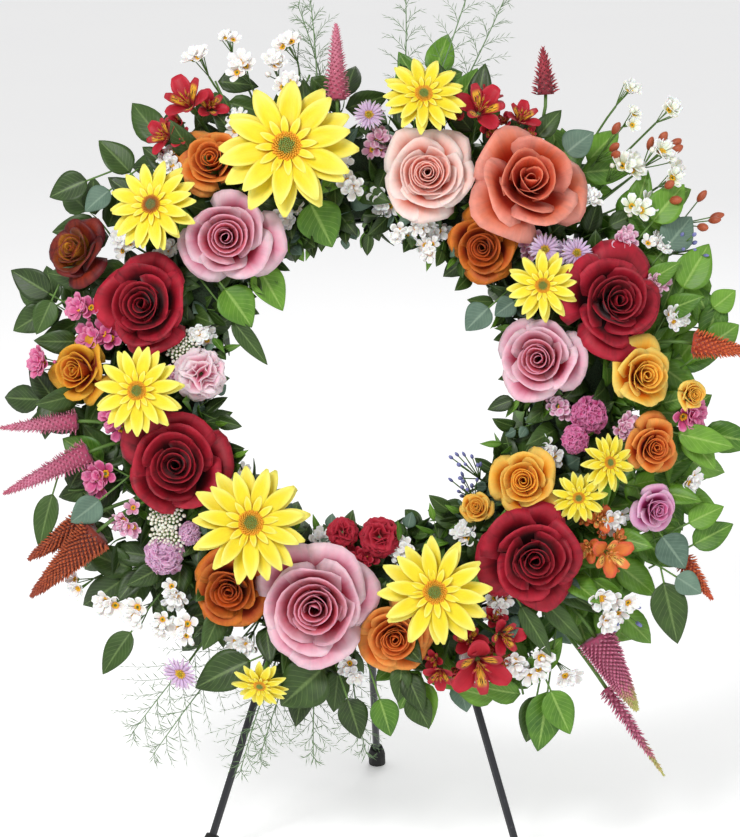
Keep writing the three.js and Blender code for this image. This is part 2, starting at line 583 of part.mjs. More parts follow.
function frontFrame() {
  const path = new THREE.CurvePath();
  const bar = FRAME.barHeight;
  const side = new THREE.Vector2(FRAME.slope, -1).normalize().multiplyScalar(FRAME.corner);
  const at = (x, y) => new THREE.Vector3(x, y, 0);
  const half = FRAME.barHalf;
  const cornerLeft = [at(-half - side.x, bar + side.y), at(-half, bar), at(FRAME.corner - half, bar)];
  const cornerRight = [at(half - FRAME.corner, bar), at(half, bar), at(half + side.x, bar + side.y)];
  path.add(new THREE.LineCurve3(at(-legX(legEnd), legEnd), cornerLeft[0]));
  path.add(new THREE.QuadraticBezierCurve3(...cornerLeft));
  path.add(new THREE.LineCurve3(cornerLeft[2], cornerRight[0]));
  path.add(new THREE.QuadraticBezierCurve3(...cornerRight));
  path.add(new THREE.LineCurve3(cornerRight[2], at(legX(legEnd), legEnd)));
  return path;
}

// A collar on each side of the hinge sleeve, and a wire bracket between them that the open rear leg
// rests against.
function collarsAndStop() {
  const inner = REAR.sleeve / 2 + GAP;
  const across = new THREE.Vector3(inner + 2.5, 0, 0);
  const rest = hinge.clone().addScaledVector(rearWay, STOP.reach);
  rest.addScaledVector(rearUpper, ROD / 2 + GAP + STOP.wire / 2);
  const parts = [straight(rest.clone().sub(across), rest.clone().add(across), STOP.wire / 2, 6)];
  for (const side of [-1, 1]) {
    const from = hinge.clone().add(new THREE.Vector3(side * inner, 0, 0));
    const to = hinge.clone().add(new THREE.Vector3(side * (inner + 5), 0, 0));
    parts.push(straight(from, to, ROD / 2 + 2, 8));
    const foot = across.clone().multiplyScalar(side);
    const armEnd = rest.clone().add(foot).addScaledVector(rearWay, 1);
    parts.push(straight(hinge.clone().add(foot), armEnd, STOP.wire / 2, 6));
  }
  return join(parts);
}

// The bent rod as straight lengths and short bends, joined.
function frontFrameSolid() {
  const curves = frontFrame().curves;
  const parts = curves.map((piece, i) => {
    if (!(piece instanceof THREE.LineCurve3)) return tube(piece, ROD / 2, 8, 3);
    const lap = piece.v2.clone().sub(piece.v1).setLength(BEND_LAP);
    const from = i === 0 ? piece.v1 : piece.v1.clone().sub(lap);
    const to = i === curves.length - 1 ? piece.v2 : piece.v2.clone().add(lap);
    return tube(new THREE.LineCurve3(from, to), ROD / 2, 8, 1);
  });
  wreath.updateMatrix();
  return join(parts).transform(wreath.matrix.elements).add(collarsAndStop());
}
addToStand("front_frame", frontFrameSolid(), "steel");

// ---- Rear leg: a rod welded to a sleeve that turns on the frame's bar ---------------------------------
// A tube's lengthwise bore is cut by a thinner round tool.
function rearLeg() {
  const half = new THREE.Vector3(REAR.sleeve / 2, 0, 0);
  const bore = ROD / 2 + REAR.play;
  const sleeve = straight(hinge.clone().sub(half), hinge.clone().add(half), bore + REAR.sleeveWall, 12);
  const long = half.clone().multiplyScalar(1.2);
  const hole = straight(hinge.clone().sub(long), hinge.clone().add(long), bore, 12);
  const rod = straight(
    hinge.clone().addScaledVector(rearWay, bore + REAR.sleeveWall / 2),
    hinge.clone().addScaledVector(rearWay, hinge.distanceTo(rearFoot) - 10),
    ROD / 2,
    10,
  );
  return join([sleeve, rod]).subtract(hole);
}

addToStand("rear_leg", rearLeg(), "steel");

// ---- Rubber tips --------------------------------------------------------------------------------------
// A tip is a thick sleeve over the end of a rod, cut flat where it meets the floor.
function rubberTip(end, up) {
  const [below, above] = [-12, TIP.length - 8];
  const profile = [[0, below], [TIP.radius, below], [TIP.radius, 8], [TIP.radius - TIP.wall, above], [0, above]];
  const body = turned(profile, 1, 12, pose(end, up));
  const top = end.clone().addScaledVector(up, TIP.length);
  const hole = straight(end.clone().addScaledVector(up, -GAP), top, ROD / 2 + GAP, 10);
  const ground = new THREE.BoxGeometry(200, 200, 100);
  return body.subtract(hole).subtract(solid(ground, new THREE.Matrix4().setPosition(end.x, end.y, -50)));
}

for (const side of [-1, 1]) {
  const end = new THREE.Vector3(side * legX(legEnd), legEnd, 0).applyEuler(wreath.rotation).add(wreath.position);
  const up = new THREE.Vector3(-side * FRAME.slope, 1, 0).normalize().applyEuler(wreath.rotation);
  addToStand(side < 0 ? "foot_tip_left" : "foot_tip_right", rubberTip(end, up), "rubber");
}
const rearEnd = hinge.clone().addScaledVector(rearWay, hinge.distanceTo(rearFoot) - 10);
addToStand("foot_tip_rear", rubberTip(rearEnd, rearWay.clone().negate()), "rubber");

// ---- The whole part, with its origin on the floor below the middle of its box -------------------------
const whole = new THREE.Group();
whole.add(wreath, stand);
whole.updateMatrixWorld(true);
const box = new THREE.Box3().setFromObject(whole, true);
whole.position.set(-(box.min.x + box.max.x) / 2, -(box.min.y + box.max.y) / 2, 0);

export default whole;
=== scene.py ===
# %% [markdown]
# # A standing funeral wreath
# A ring of fresh roses, gerberas and greenery on a low steel tripod. The construction is already packed as a
# frame: every bloom has a plain solid with the right size and place. This lesson grows the real petals, leaves
# and finishes around those solids. Nothing here moves or resizes a part of the frame.

import math

import bpy
import numpy as np
from mathutils import Matrix, Vector


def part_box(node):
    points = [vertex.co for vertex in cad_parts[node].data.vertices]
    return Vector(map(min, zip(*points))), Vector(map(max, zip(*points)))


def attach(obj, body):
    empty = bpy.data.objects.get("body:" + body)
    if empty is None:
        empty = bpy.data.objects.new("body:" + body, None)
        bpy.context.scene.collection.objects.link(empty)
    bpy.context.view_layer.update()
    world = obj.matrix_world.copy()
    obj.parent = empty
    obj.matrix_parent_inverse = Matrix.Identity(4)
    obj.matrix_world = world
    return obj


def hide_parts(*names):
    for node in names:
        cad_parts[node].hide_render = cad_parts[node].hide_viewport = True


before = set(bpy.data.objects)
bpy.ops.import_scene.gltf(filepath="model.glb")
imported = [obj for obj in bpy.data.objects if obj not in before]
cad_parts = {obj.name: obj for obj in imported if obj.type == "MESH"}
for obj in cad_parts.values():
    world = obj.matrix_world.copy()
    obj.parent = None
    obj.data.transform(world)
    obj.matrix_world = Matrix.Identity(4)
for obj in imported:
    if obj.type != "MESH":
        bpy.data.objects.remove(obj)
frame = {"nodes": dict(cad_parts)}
bpy.context.view_layer.update()
nodes = frame["nodes"]
WREATH = "wreath_and_stand"
MM = 0.001

# %% [markdown]
# Each bloom's solid ends in a flat round or star-shaped face that looks the way the bloom looks, and each leaf's
# solid is a flat blade. So the flat faces of a node say where its blooms and leaves are, and how large. Triangles
# that share a corner and lie in one plane make one flat face.

# %% Find the flat faces of a node
SLIVER = 2e-10  # twice the area, in square metres, of a triangle that is too thin to have a direction
SAME_WAY, SAME_PLANE = 0.99995, 1e-4  # how alike the normals and the planes of one face's triangles are
LEAST_FACE = 1.5e-5  # square metres: anything smaller is a facet of a stem


def welded(node):
    """A node's corners without doubles, and its triangles as numbers of those corners."""
    mesh = nodes[node].data
    mesh.calc_loop_triangles()
    places = np.array([v.co for v in mesh.vertices])
    corners, number = np.unique(np.round(places, 6), axis=0, return_inverse=True)
    return corners, number.ravel()[np.array([t.vertices[:] for t in mesh.loop_triangles])]


def flat_faces(node):
    """(area, corners, normal) of each flat face of a node, largest first."""
    corners, triangles = welded(node)
    cross = np.cross(
        corners[triangles[:, 1]] - corners[triangles[:, 0]], corners[triangles[:, 2]] - corners[triangles[:, 0]]
    )
    doubled = np.linalg.norm(cross, axis=1)
    triangles, cross, doubled = (a[doubled > SLIVER] for a in (triangles, cross, doubled))
    normals = cross / doubled[:, None]
    offsets = np.einsum("ij,ij->i", normals, corners[triangles[:, 0]])
    at_corner = {}
    for i, three in enumerate(triangles):
        for corner in three:
            at_corner.setdefault(corner, []).append(i)
    group = list(range(len(triangles)))

    def leader(i):
        while group[i] != i:
            i = group[i]
        return i

    for around in at_corner.values():
        for k, i in enumerate(around):
            for j in around[:k]:
                if normals[i] @ normals[j] > SAME_WAY and abs(offsets[i] - offsets[j]) < SAME_PLANE:
                    group[leader(i)] = leader(j)
    leaders = np.array([leader(i) for i in range(len(triangles))])
    found = []
    for one in np.unique(leaders):
        same = leaders == one
        area = doubled[same].sum() / 2
        if area > LEAST_FACE:
            found.append((area, corners[np.unique(triangles[same])], normals[same].mean(0)))
    return sorted(found, key=lambda face: -face[0])


# %% [markdown]
# The wreath leans back on its legs. The back of the foam's tray is flat, and its normal says how far. Everything
# on the wreath is then described by three directions: right, up along the lean, and front.

# %% The leaning plane of the wreath
tray_normal = Vector(flat_faces("foam_tray")[0][2]).normalized()
FRONT = tray_normal * (1 if tray_normal.y < 0 else -1)
RIGHT = Vector((1, 0, 0))
ALONG = FRONT.cross(RIGHT).normalized()
tray_low, tray_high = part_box("foam_tray")
TRAY_MIDDLE_LIFT = 24 * MM  # from the plane of the hoop behind the tray to the middle of the tray
RING = (tray_low + tray_high) / 2 - FRONT * TRAY_MIDDLE_LIFT


def on_wreath(clock, reach, lift):
    """A place: degrees clockwise from the top, distance from the centre and height to the front, in metres."""
    angle = math.radians(clock)
    return RING + RIGHT * (reach * math.sin(angle)) + ALONG * (reach * math.cos(angle)) + FRONT * lift


def wreath_place(point):
    """(clock in degrees, reach, lift) of a point."""
    offset = Vector(point) - RING
    x, y = offset.dot(RIGHT), offset.dot(ALONG)
    return math.degrees(math.atan2(x, y)) % 360, math.hypot(x, y), offset.dot(FRONT)


print("the wreath leans", round(math.degrees(math.asin(FRONT.z)), 2), "degrees; ring centre", RING[:])

# %% The seats of the blooms
# how wide a bloom's flat face is as a share of the bloom, by the face's corners: small cones, and the two star faces
FACE_SHARE = {5: 0.8, 6: 0.96, 11: 0.96}
ROSE_FACE, HEAD_FACE = 0.6, 0.7  # the eight-sided faces of roses, and of carnations and stocks
RIM = 0.985  # a face's corners from this share of its radius on are its rim
LOOKS_AHEAD, LEAF_AHEAD = 0.3, 0.05  # how far a bloom's or a leaf's face is turned to the front, at least
BLADE_FOOT = (2 * MM, 3.2 * MM)  # every leaf blade of the construction is between these widths at its foot


def bloom_seats(node):
    """(centre, way it looks, size, corner count) of each bloom of a node, the largest first."""
    seats = []
    for _, points, normal in flat_faces(node):
        way = Vector(normal).normalized()
        if way.dot(FRONT) < LOOKS_AHEAD:
            continue
        distance = np.linalg.norm(points - points.mean(0), axis=1)
        rim = points[distance > RIM * distance.max()]
        spread = np.linalg.norm(rim - rim.mean(0), axis=1)
        gaps = np.sort(np.linalg.norm(rim[:, None] - rim[None], axis=2), axis=1)[:, 1] if len(rim) > 1 else rim
        if len(rim) not in (5, 6, 8, 11) or spread.std() > 0.01 * spread.mean() or gaps.std() > 0.02 * gaps.mean():
            continue
        share = FACE_SHARE.get(len(rim)) or (ROSE_FACE if "rose" in node else HEAD_FACE)
        seats.append((Vector(rim.mean(0)), way, float(spread.mean()) / share, len(rim)))
    return sorted(seats, key=lambda seat: -seat[2])


def leaf_seats(node):
    """(base, tip, way its face looks) of each leaf blade of a node."""
    found = []
    for _, points, normal in flat_faces(node):
        way = Vector(normal).normalized()
        if way.dot(FRONT) < LEAF_AHEAD or not 5 <= len(points) <= 14:
            continue
        gaps = np.linalg.norm(points[:, None] - points[None], axis=2) + np.eye(len(points))
        a, b = np.unravel_index(gaps.argmin(), gaps.shape)
        base = (points[a] + points[b]) / 2
        if not BLADE_FOOT[0] < gaps[a, b] < BLADE_FOOT[1]:
            continue
        reach = np.linalg.norm(points - base, axis=1)
        tip = points[reach.argmax()]
        along = (tip - base) / reach.max()
        side = points - base - np.outer((points - base) @ along, along)
        widest = 2 * np.linalg.norm(side, axis=1).max()
        if reach.max() > 1.3 * widest:
            found.append((Vector(base), Vector(tip), way))
    return found


print("seats of gerberas_far_right:", [round(seat[2] / MM, 1) for seat in bloom_seats("gerberas_far_right")])

# %% [markdown]
# The camera stands a little above the wreath and looks down at it by about the angle that the wreath leans back.
# It is far away, as a long lens is, so near and far blooms keep their true sizes. The floor is one wide pale sheet,
# so no horizon line crosses the picture.

# %% Camera
AZIMUTH, ELEVATION, DISTANCE = math.radians(3), math.radians(15), 2.8
FRAME_HEIGHT = 0.770  # metres that fit in the picture's height, at the wreath
AIM_RIGHT, AIM_DOWN = 3 * MM, 31 * MM  # the picture's middle lies below the ring's middle
to_camera = Vector(
    (math.sin(AZIMUTH) * math.cos(ELEVATION), -math.cos(AZIMUTH) * math.cos(ELEVATION), math.sin(ELEVATION))
)
camera_right = Vector((math.cos(AZIMUTH), math.sin(AZIMUTH), 0))
camera_up = to_camera.cross(camera_right)
aim = RING + FRONT * 60 * MM + camera_right * AIM_RIGHT - camera_up * AIM_DOWN
camera_data = bpy.data.cameras.new("camera")
camera_data.lens = camera_data.sensor_width * DISTANCE / FRAME_HEIGHT
camera = bpy.data.objects.new("camera", camera_data)
camera.matrix_world = Matrix.Translation(aim + to_camera * DISTANCE) @ Matrix(
    (camera_right, camera_up, to_camera)
).transposed().to_4x4()
bpy.context.collection.objects.link(camera)
bpy.context.scene.camera = camera
bpy.context.scene.view_settings.view_transform = "Standard"
print("lens", round(camera_data.lens, 1), "mm")

# %% Light and world
WORLD_LIGHT = 0.62
world = bpy.data.worlds.new("studio")
world.use_nodes = True
world.node_tree.nodes["Background"].inputs["Color"].default_value = (1, 1, 1, 1)
world.node_tree.nodes["Background"].inputs["Strength"].default_value = WORLD_LIGHT
bpy.context.scene.world = world


def area_light(name, place, size, power):
    """A large soft light that looks at the wreath: its width in metres and its power in watts."""
    data = bpy.data.lights.new(name, "AREA")
    data.size, data.energy = size, power
    light = bpy.data.objects.new(name, data)
    light.location = place
    light.rotation_euler = (Vector(place) - RING).to_track_quat("Z", "Y").to_euler()
    bpy.context.collection.objects.link(light)


area_light("key", (-0.9, -1.9, 2.1), 0.7, 38)
area_light("fill", (1.9, -1.6, 0.9), 1.4, 7)
area_light("back", (0.4, 1.8, 1.9), 1.2, 10)

# %% [markdown]
# Node trees are the way to describe both finishes and repeated shapes. A small class stands for one socket, so that
# sums on sockets read like sums on numbers; another class adds any node to a tree with its settings and values.

# %% Node trees written as sums
class Wire:
    """One output socket of a node tree. Sums on it add Math nodes."""

    def __init__(self, nodes, socket):
        self.nodes, self.socket = nodes, socket

    def sum(self, operation, *values):
        return self.nodes.add("ShaderNodeMath", {"operation": operation}, dict(enumerate(values)))

    def __add__(self, other):
        return self.sum("ADD", self, other)

    def __sub__(self, other):
        return self.sum("SUBTRACT", self, other)

    def __rsub__(self, other):
        return self.sum("SUBTRACT", other, self)

    def __mul__(self, other):
        return self.sum("MULTIPLY", self, other)

    def __truediv__(self, other):
        return self.sum("DIVIDE", self, other)

    def __pow__(self, other):
        return self.sum("POWER", self, other)

    def __gt__(self, other):
        return self.sum("GREATER_THAN", self, other)

    __radd__, __rmul__ = __add__, __mul__

    def ramp(self, low, high, to_low=0.0, to_high=1.0):
        """Goes smoothly from to_low to to_high while this goes from low to high."""
        return self.nodes.add(
            "ShaderNodeMapRange",
            {"interpolation_type": "SMOOTHSTEP"},
            {"Value": self, "From Min": low, "From Max": high, "To Min": to_low, "To Max": to_high},
        )


class Nodes:
    """A node tree that is built from Python."""

    def __init__(self, tree):
        self.tree = tree

    def add(self, kind, settings=None, values=None, out=0):
        """Adds a node: its settings first, then the values or links of its sockets. Returns one output."""
        node = self.tree.nodes.new(kind)
        for name, value in (settings or {}).items():
            if name == "stops":
                self.set_stops(node.color_ramp, value)
            else:
                setattr(node, name, value)
        for name, value in (values or {}).items():
            if isinstance(value, Wire):
                self.tree.links.new(value.socket, node.inputs[name])
            else:
                node.inputs[name].default_value = value
        return Wire(self, node.outputs[out]) if len(node.outputs) else node

    def set_stops(self, ramp, stops):
        for k, (place, colour) in enumerate(stops):
            stop = ramp.elements[k] if k < 2 else ramp.elements.new(place)
            stop.position, stop.color = place, colour

    def mix(self, share, first, second, blend="MIX"):
        """Mixes two colours."""
        node = self.tree.nodes.new("ShaderNodeMix")
        node.data_type, node.blend_type = "RGBA", blend
        for k, value in ((0, share), (6, first), (7, second)):
            if isinstance(value, Wire):
                self.tree.links.new(value.socket, node.inputs[k])
            else:
                node.inputs[k].default_value = value
        return Wire(self, node.outputs[2])

    def shaded(self, skin, shade):
        """A colour made darker by a number from 0 to 1."""
        grey = self.add("ShaderNodeCombineColor", {}, {0: shade, 1: shade, 2: shade})
        return self.mix(1.0, skin, grey, "MULTIPLY")

    def vector(self, x, y, z):
        return self.add("ShaderNodeCombineXYZ", {}, {"X": x, "Y": y, "Z": z})

    def mark(self, name):
        """A number that is kept on the mesh, such as how far along a petal a point is."""
        return self.add("ShaderNodeAttribute", {"attribute_name": name}, out=2)

    def noise(self, scale, detail=2.0, vector=None, roughness=0.5):
        if vector is None:
            vector = self.add("ShaderNodeTexCoord", out=3)
        return self.add(
            "ShaderNodeTexNoise", {}, {"Vector": vector, "Scale": scale, "Detail": detail, "Roughness": roughness}
        )


def colour(code):
    """A colour from the hex code that a colour chart gives, as light values."""
    parts = [int(code[k : k + 2], 16) / 255 for k in (1, 3, 5)]
    return tuple(c / 12.92 if c <= 0.04045 else ((c + 0.055) / 1.055) ** 2.4 for c in parts) + (1.0,)


def finish(name, build, **constants):
    """A material: build(nodes) returns what varies over the surface, and the constants are set on the shader."""
    material = bpy.data.materials.new(name)
    material.use_nodes = True
    shader = material.node_tree.nodes["Principled BSDF"]
    nodes_ = Nodes(material.node_tree)
    for socket, value in constants.items():
        shader.inputs[socket.replace("_", " ")].default_value = value
    for socket, wire in build(nodes_).items():
        if socket == "Bump":
            height, strength, distance = wire
            values = {"Height": height, "Strength": strength, "Distance": distance}
            material.node_tree.links.new(nodes_.add("ShaderNodeBump", {}, values).socket, shader.inputs["Normal"])
        else:
            material.node_tree.links.new(wire.socket, shader.inputs[socket])
    return material


# %% Floor
def floor_finish(n):
    cloud = n.noise(3.0, 2.0)
    return {"Base Color": n.mix(cloud, colour("#FBFBFC"), colour("#FEFEFE"))}


FLOOR_HALF, FLOOR_CELLS = 14.0, 8
floor_mesh = bpy.data.meshes.new("floor")
steps = np.linspace(-FLOOR_HALF, FLOOR_HALF, FLOOR_CELLS + 1)
floor_mesh.from_pydata(
    [(x, y, 0) for y in steps for x in steps],
    [],
    [
        (k, k + 1, k + FLOOR_CELLS + 2, k + FLOOR_CELLS + 1)
        for row in range(FLOOR_CELLS)
        for k in range(row * (FLOOR_CELLS + 1), row * (FLOOR_CELLS + 1) + FLOOR_CELLS)
    ],
)
FLOOR_GLOW = 0.20  # keeps the pale sheet as bright as the world behind it
FLOOR = finish("floor", floor_finish, Roughness=0.9, Emission_Color=(1.0, 1.0, 1.0, 1.0), Emission_Strength=FLOOR_GLOW)
floor_mesh.materials.append(FLOOR)
floor = bpy.data.objects.new("floor", floor_mesh)
bpy.context.collection.objects.link(floor)

# %% [markdown]
# A petal or leaf is a thin closed shell: a curved grid of points, copied a fraction of a millimetre apart, with its
# edges joined. Five numbers go with each point for the finishes: across and along the petal, a tone that is
# the same all over one petal, how deep in the flower it sits, and whether it is on the inner face. Whole flowers
# are gathered as plain arrays and become one mesh at the end, which is far quicker than joining objects.

# %% Shells gathered into one mesh
MARKS = ("across", "along", "tone", "depth", "inside")


class Growth:
    """Petals, leaves and stems gathered as arrays: points, polygons, a finish number for each polygon, and marks."""

    def __init__(self):
        self.points, self.corners, self.sides, self.skins, self.marks, self.count = [], [], [], [], [], 0

    def put(self, points, corners, sides, skins, marks):
        self.points.append(points)
        self.corners.append(corners + self.count)
        self.sides.append(sides)
        self.skins.append(skins)
        self.marks.append(marks)
        self.count += len(points)

    def quads(self, points, quads, skin, marks):
        self.put(points, quads.ravel(), np.full(len(quads), 4), np.full(len(quads), skin), marks)

    def shells(self, grids, thickness, skin=0, tone=0.5, depth=0.0):
        """Closed shells from grids of points, shaped (how many, along, across, 3)."""
        k, rows, columns = grids.shape[:3]
        normal = np.cross(np.gradient(grids, axis=2), np.gradient(grids, axis=1))
        normal /= np.maximum(np.linalg.norm(normal, axis=3, keepdims=True), 1e-12)
        both = np.stack([grids + normal * thickness / 2, grids - normal * thickness / 2], axis=1)
        grid = np.arange(rows * columns).reshape(rows, columns)
        a, b, c, d = grid[:-1, :-1], grid[:-1, 1:], grid[1:, 1:], grid[1:, :-1]
        front = np.stack([a, b, c, d], axis=-1).reshape(-1, 4)
        edge = np.concatenate([grid[0, :-1], grid[:-1, -1], grid[-1, :0:-1], grid[:0:-1, 0]])
        following = np.roll(edge, -1)
        wall = np.stack([edge + rows * columns, following + rows * columns, following, edge], axis=1)
        one = np.concatenate([front, front[:, ::-1] + rows * columns, wall])
        quads = (one[None] + (np.arange(k) * 2 * rows * columns)[:, None, None]).reshape(-1, 4)
        across, along = np.meshgrid(np.linspace(-1, 1, columns), np.linspace(0, 1, rows))
        marks = np.zeros((k, 2, rows, columns, len(MARKS)))
        marks[..., 0], marks[..., 1] = across, along
        marks[..., 2] = np.reshape(np.broadcast_to(tone, k), (k, 1, 1, 1))
        marks[..., 3] = np.reshape(np.broadcast_to(depth, k), (k, 1, 1, 1))
        marks[:, 1, ..., 4] = 1
        self.quads(both.reshape(-1, 3), quads, skin, marks.reshape(-1, len(MARKS)))

    def tube(self, path, radii, skin, sides=6, tone=0.5):
        """A round stem along a path, closed at both ends by a shrinking ring."""
        path = np.asarray(path, float)
        radii = np.broadcast_to(radii, len(path)).copy()
        path = np.concatenate([path[:1], path, path[-1:]])
        radii = np.concatenate([[radii[0] * 0.05], radii, [radii[-1] * 0.05]])
        tangent = np.gradient(path, axis=0)
        tangent[0], tangent[1], tangent[-1] = path[2] - path[1], path[2] - path[1], path[-2] - path[-3]
        tangent /= np.maximum(np.linalg.norm(tangent, axis=1, keepdims=True), 1e-9)
        side = np.cross(tangent, np.where(np.abs(tangent[:, 2:]) < 0.9, [[0, 0, 1.0]], [[1.0, 0, 0]]))
        side /= np.linalg.norm(side, axis=1, keepdims=True)
        other = np.cross(tangent, side)
        turn = np.arange(sides) * 2 * np.pi / sides
        ring = side[:, None] * np.cos(turn)[None, :, None] + other[:, None] * np.sin(turn)[None, :, None]
        points = path[:, None] + ring * radii[:, None, None]
        number = np.arange(len(path) * sides).reshape(len(path), sides)
        nxt = np.roll(number, -1, axis=1)
        quads = np.stack([number[:-1], nxt[:-1], nxt[1:], number[1:]], axis=-1).reshape(-1, 4)
        marks = np.zeros((len(path), sides, len(MARKS)))
        marks[..., 0], marks[..., 1] = np.cos(turn), np.linspace(0, 1, len(path))[:, None]
        marks[..., 2] = tone
        self.quads(points.reshape(-1, 3), quads, skin, marks.reshape(-1, len(MARKS)))
        for ends, flip in ((number[0], True), (number[-1], False)):
            order = ends[::-1] if flip else ends
            self.corners.append(order + self.count - len(path) * sides)
            self.sides.append(np.array([sides]))
            self.skins.append(np.array([skin]))

    def flat(self):
        """Everything gathered, as five arrays."""
        parts = (self.points, self.corners, self.sides, self.skins, self.marks)
        return tuple(np.concatenate(part) for part in parts)

    def copy(self, flat, place):
        """Puts a copy of gathered arrays at a 4×4 place."""
        points, *rest = flat
        turn, shift = np.array(place.to_3x3()), np.array(place.translation)
        self.put(points @ turn.T + shift, *rest)

    def object(self, name, finishes):
        points, corners, sides, skins, marks = self.flat()
        mesh = bpy.data.meshes.new(name)
        mesh.vertices.add(len(points))
        mesh.vertices.foreach_set("co", points.astype(np.float32).ravel())
        mesh.loops.add(len(corners))
        mesh.loops.foreach_set("vertex_index", corners.astype(np.int32))
        mesh.polygons.add(len(sides))
        mesh.polygons.foreach_set("loop_start", np.concatenate([[0], np.cumsum(sides)[:-1]]).astype(np.int32))
        mesh.polygons.foreach_set("loop_total", sides.astype(np.int32))
        for material in finishes:
            mesh.materials.append(material)
        mesh.polygons.foreach_set("material_index", skins.astype(np.int32))
        mesh.polygons.foreach_set("use_smooth", np.ones(len(sides), bool))
        mesh.update(calc_edges=True)
        for k, mark in enumerate(MARKS):
            kept = mesh.attributes.new(mark, "FLOAT", "POINT")
            kept.data.foreach_set("value", marks[:, k].astype(np.float32))
        made = bpy.data.objects.new(name, mesh)
        bpy.context.collection.objects.link(made)
        return made


def seat_frame(centre, way, spin=0.0):
    """A place whose Z looks the way the bloom looks, turned about it by spin degrees."""
    side = ALONG.cross(way).normalized()
    turn = Matrix((side, way.cross(side), way)).transposed()
    return Matrix.Translation(centre) @ turn.to_4x4() @ Matrix.Rotation(math.radians(spin), 4, "Z")


# %% [markdown]
# Petal skin is nearly matt, with fine veins that fan from the base to the rim. Its colour changes along the petal,
# and in a rose the petals near the heart are deeper than the outer ones. A paler rim is partly the petal's own edge
# and partly a painted highlight, and the deeper foot on the inner faces is partly painted shade in the cup.
# The veins come from a noise that is stretched along each petal, so they run the way real veins do.

# %% Petal finishes
def petal_finish(name, base, body, rim, heart=None, rim_from=0.8, base_to=0.45, velvet=0.1, rough=0.55, mottle=0.1):
    """base: colour at the petal's foot, partly painted shade in a rose's cup; body: its blade; rim: its edge, lighter
    partly as a painted highlight; heart: the innermost petals.
    """

    def build(n):
        across, along, tone, depth, inside = (n.mark(mark) for mark in MARKS)
        veins = n.noise(1.0, 3.0, n.vector(across * 9, along * 1.6, tone * 41))
        patches = n.noise(110.0, 2.0)
        edge = (across * across) * 0.35 + along
        # on the inner faces the foot's colour reaches further along: partly the rose's own deeper inside, partly
        # painted shade in the cup between the petals
        low = inside * 0.42 + depth * 0.2 + 0.1
        high = inside * (base_to - 0.5) + depth * 0.1 + 0.5
        skin = n.mix(along.ramp(low, high) if heart else along.ramp(0.15, base_to), base, body)
        if heart:
            skin = n.mix(depth.ramp(0.12, 0.5) * along.ramp(1.0, 0.93) * 0.92, skin, heart)
        # the rim colour is partly the petal's own paler edge and partly a painted highlight on the rolled rim; the
        # innermost petals get less of it
        rim_and_highlight_share = (edge + veins * 0.2).ramp(rim_from, 1.22)
        if heart:
            rim_and_highlight_share = rim_and_highlight_share * (1 - depth.ramp(0.08, 0.5) * 0.72)
        skin = n.mix(rim_and_highlight_share, skin, rim)
        shade = 1 - (veins.ramp(0.45, 0.75) * mottle) - patches.ramp(0.35, 0.7) * mottle * 0.7 - tone * mottle
        return {
            "Base Color": n.shaded(skin, shade),
            "Roughness": veins * 0.2 + (rough - 0.1),
            "Bump": (veins + patches * 0.4, 0.25, 0.4 * MM),
        }

    return finish(
        name,
        build,
        Sheen_Weight=velvet,
        Sheen_Roughness=0.4,
        Subsurface_Weight=0.12,
        Subsurface_Scale=2.5 * MM,
        Specular_IOR_Level=0.3,
    )


# foot, blade, rim and heart of each rose, how far up the foot's colour reaches, its velvet and its mottling
ROSE_SKINS = {
    "pink_rose": ("#A81432", "#DA7C9A", "#F8D6E0", "#C81E3C", 0.92, 0.04, 0.12),
    # the red rose's near-black foot is painted shade down between its petals, and its lighter rim is partly a painted
    # highlight
    "red_rose": ("#26000A", "#9C0820", "#C4243C", "#7C0618", 0.84, 0.08, 0.30),
    "coral_rose": ("#B42606", "#E8764C", "#F2A090", "#DC4612", 0.94, 0.04, 0.16),
    "blush_rose": ("#D8502E", "#F1B4A6", "#FCE8E2", "#E8684A", 0.90, 0.04, 0.10),
    "orange_rose": ("#A82406", "#E36A16", "#F6A550", "#C84210", 0.88, 0.04, 0.16),
    "rusty_rose": ("#5E0A06", "#B03A10", "#E58428", "#C24A12", 0.86, 0.06, 0.22),
    "golden_rose": ("#CC4E08", "#F2A01C", "#FBD064", "#EE8A14", 0.88, 0.04, 0.12),
    "apricot_rose": ("#DC6A08", "#F6B02A", "#FCDC70", "#F0981A", 0.88, 0.04, 0.12),
    "amber_rose": ("#A02C14", "#DC9018", "#EAB034", "#CC5014", 0.86, 0.04, 0.16),
    "rust_rose": ("#DE9A20", "#8E2A12", "#5A0A12", "#D08A20", 0.60, 0.08, 0.24),
    "lilac_rose": ("#A02A66", "#D67AB0", "#F0C2DC", "#C8447E", 0.90, 0.04, 0.12),
}
PETALS = {
    name: petal_finish("petals_" + name, *map(colour, codes), base_to=foot_to, velvet=velvet, mottle=mottle)
    for name, (*codes, foot_to, velvet, mottle) in ROSE_SKINS.items()
}

# %% [markdown]
# Leaf skin is waxier than petal skin: a pale midrib, side veins that leave it at an angle, and small blotches where
# the green is deeper. Some leaves in a wreath are bright and young, some dark, some grey.

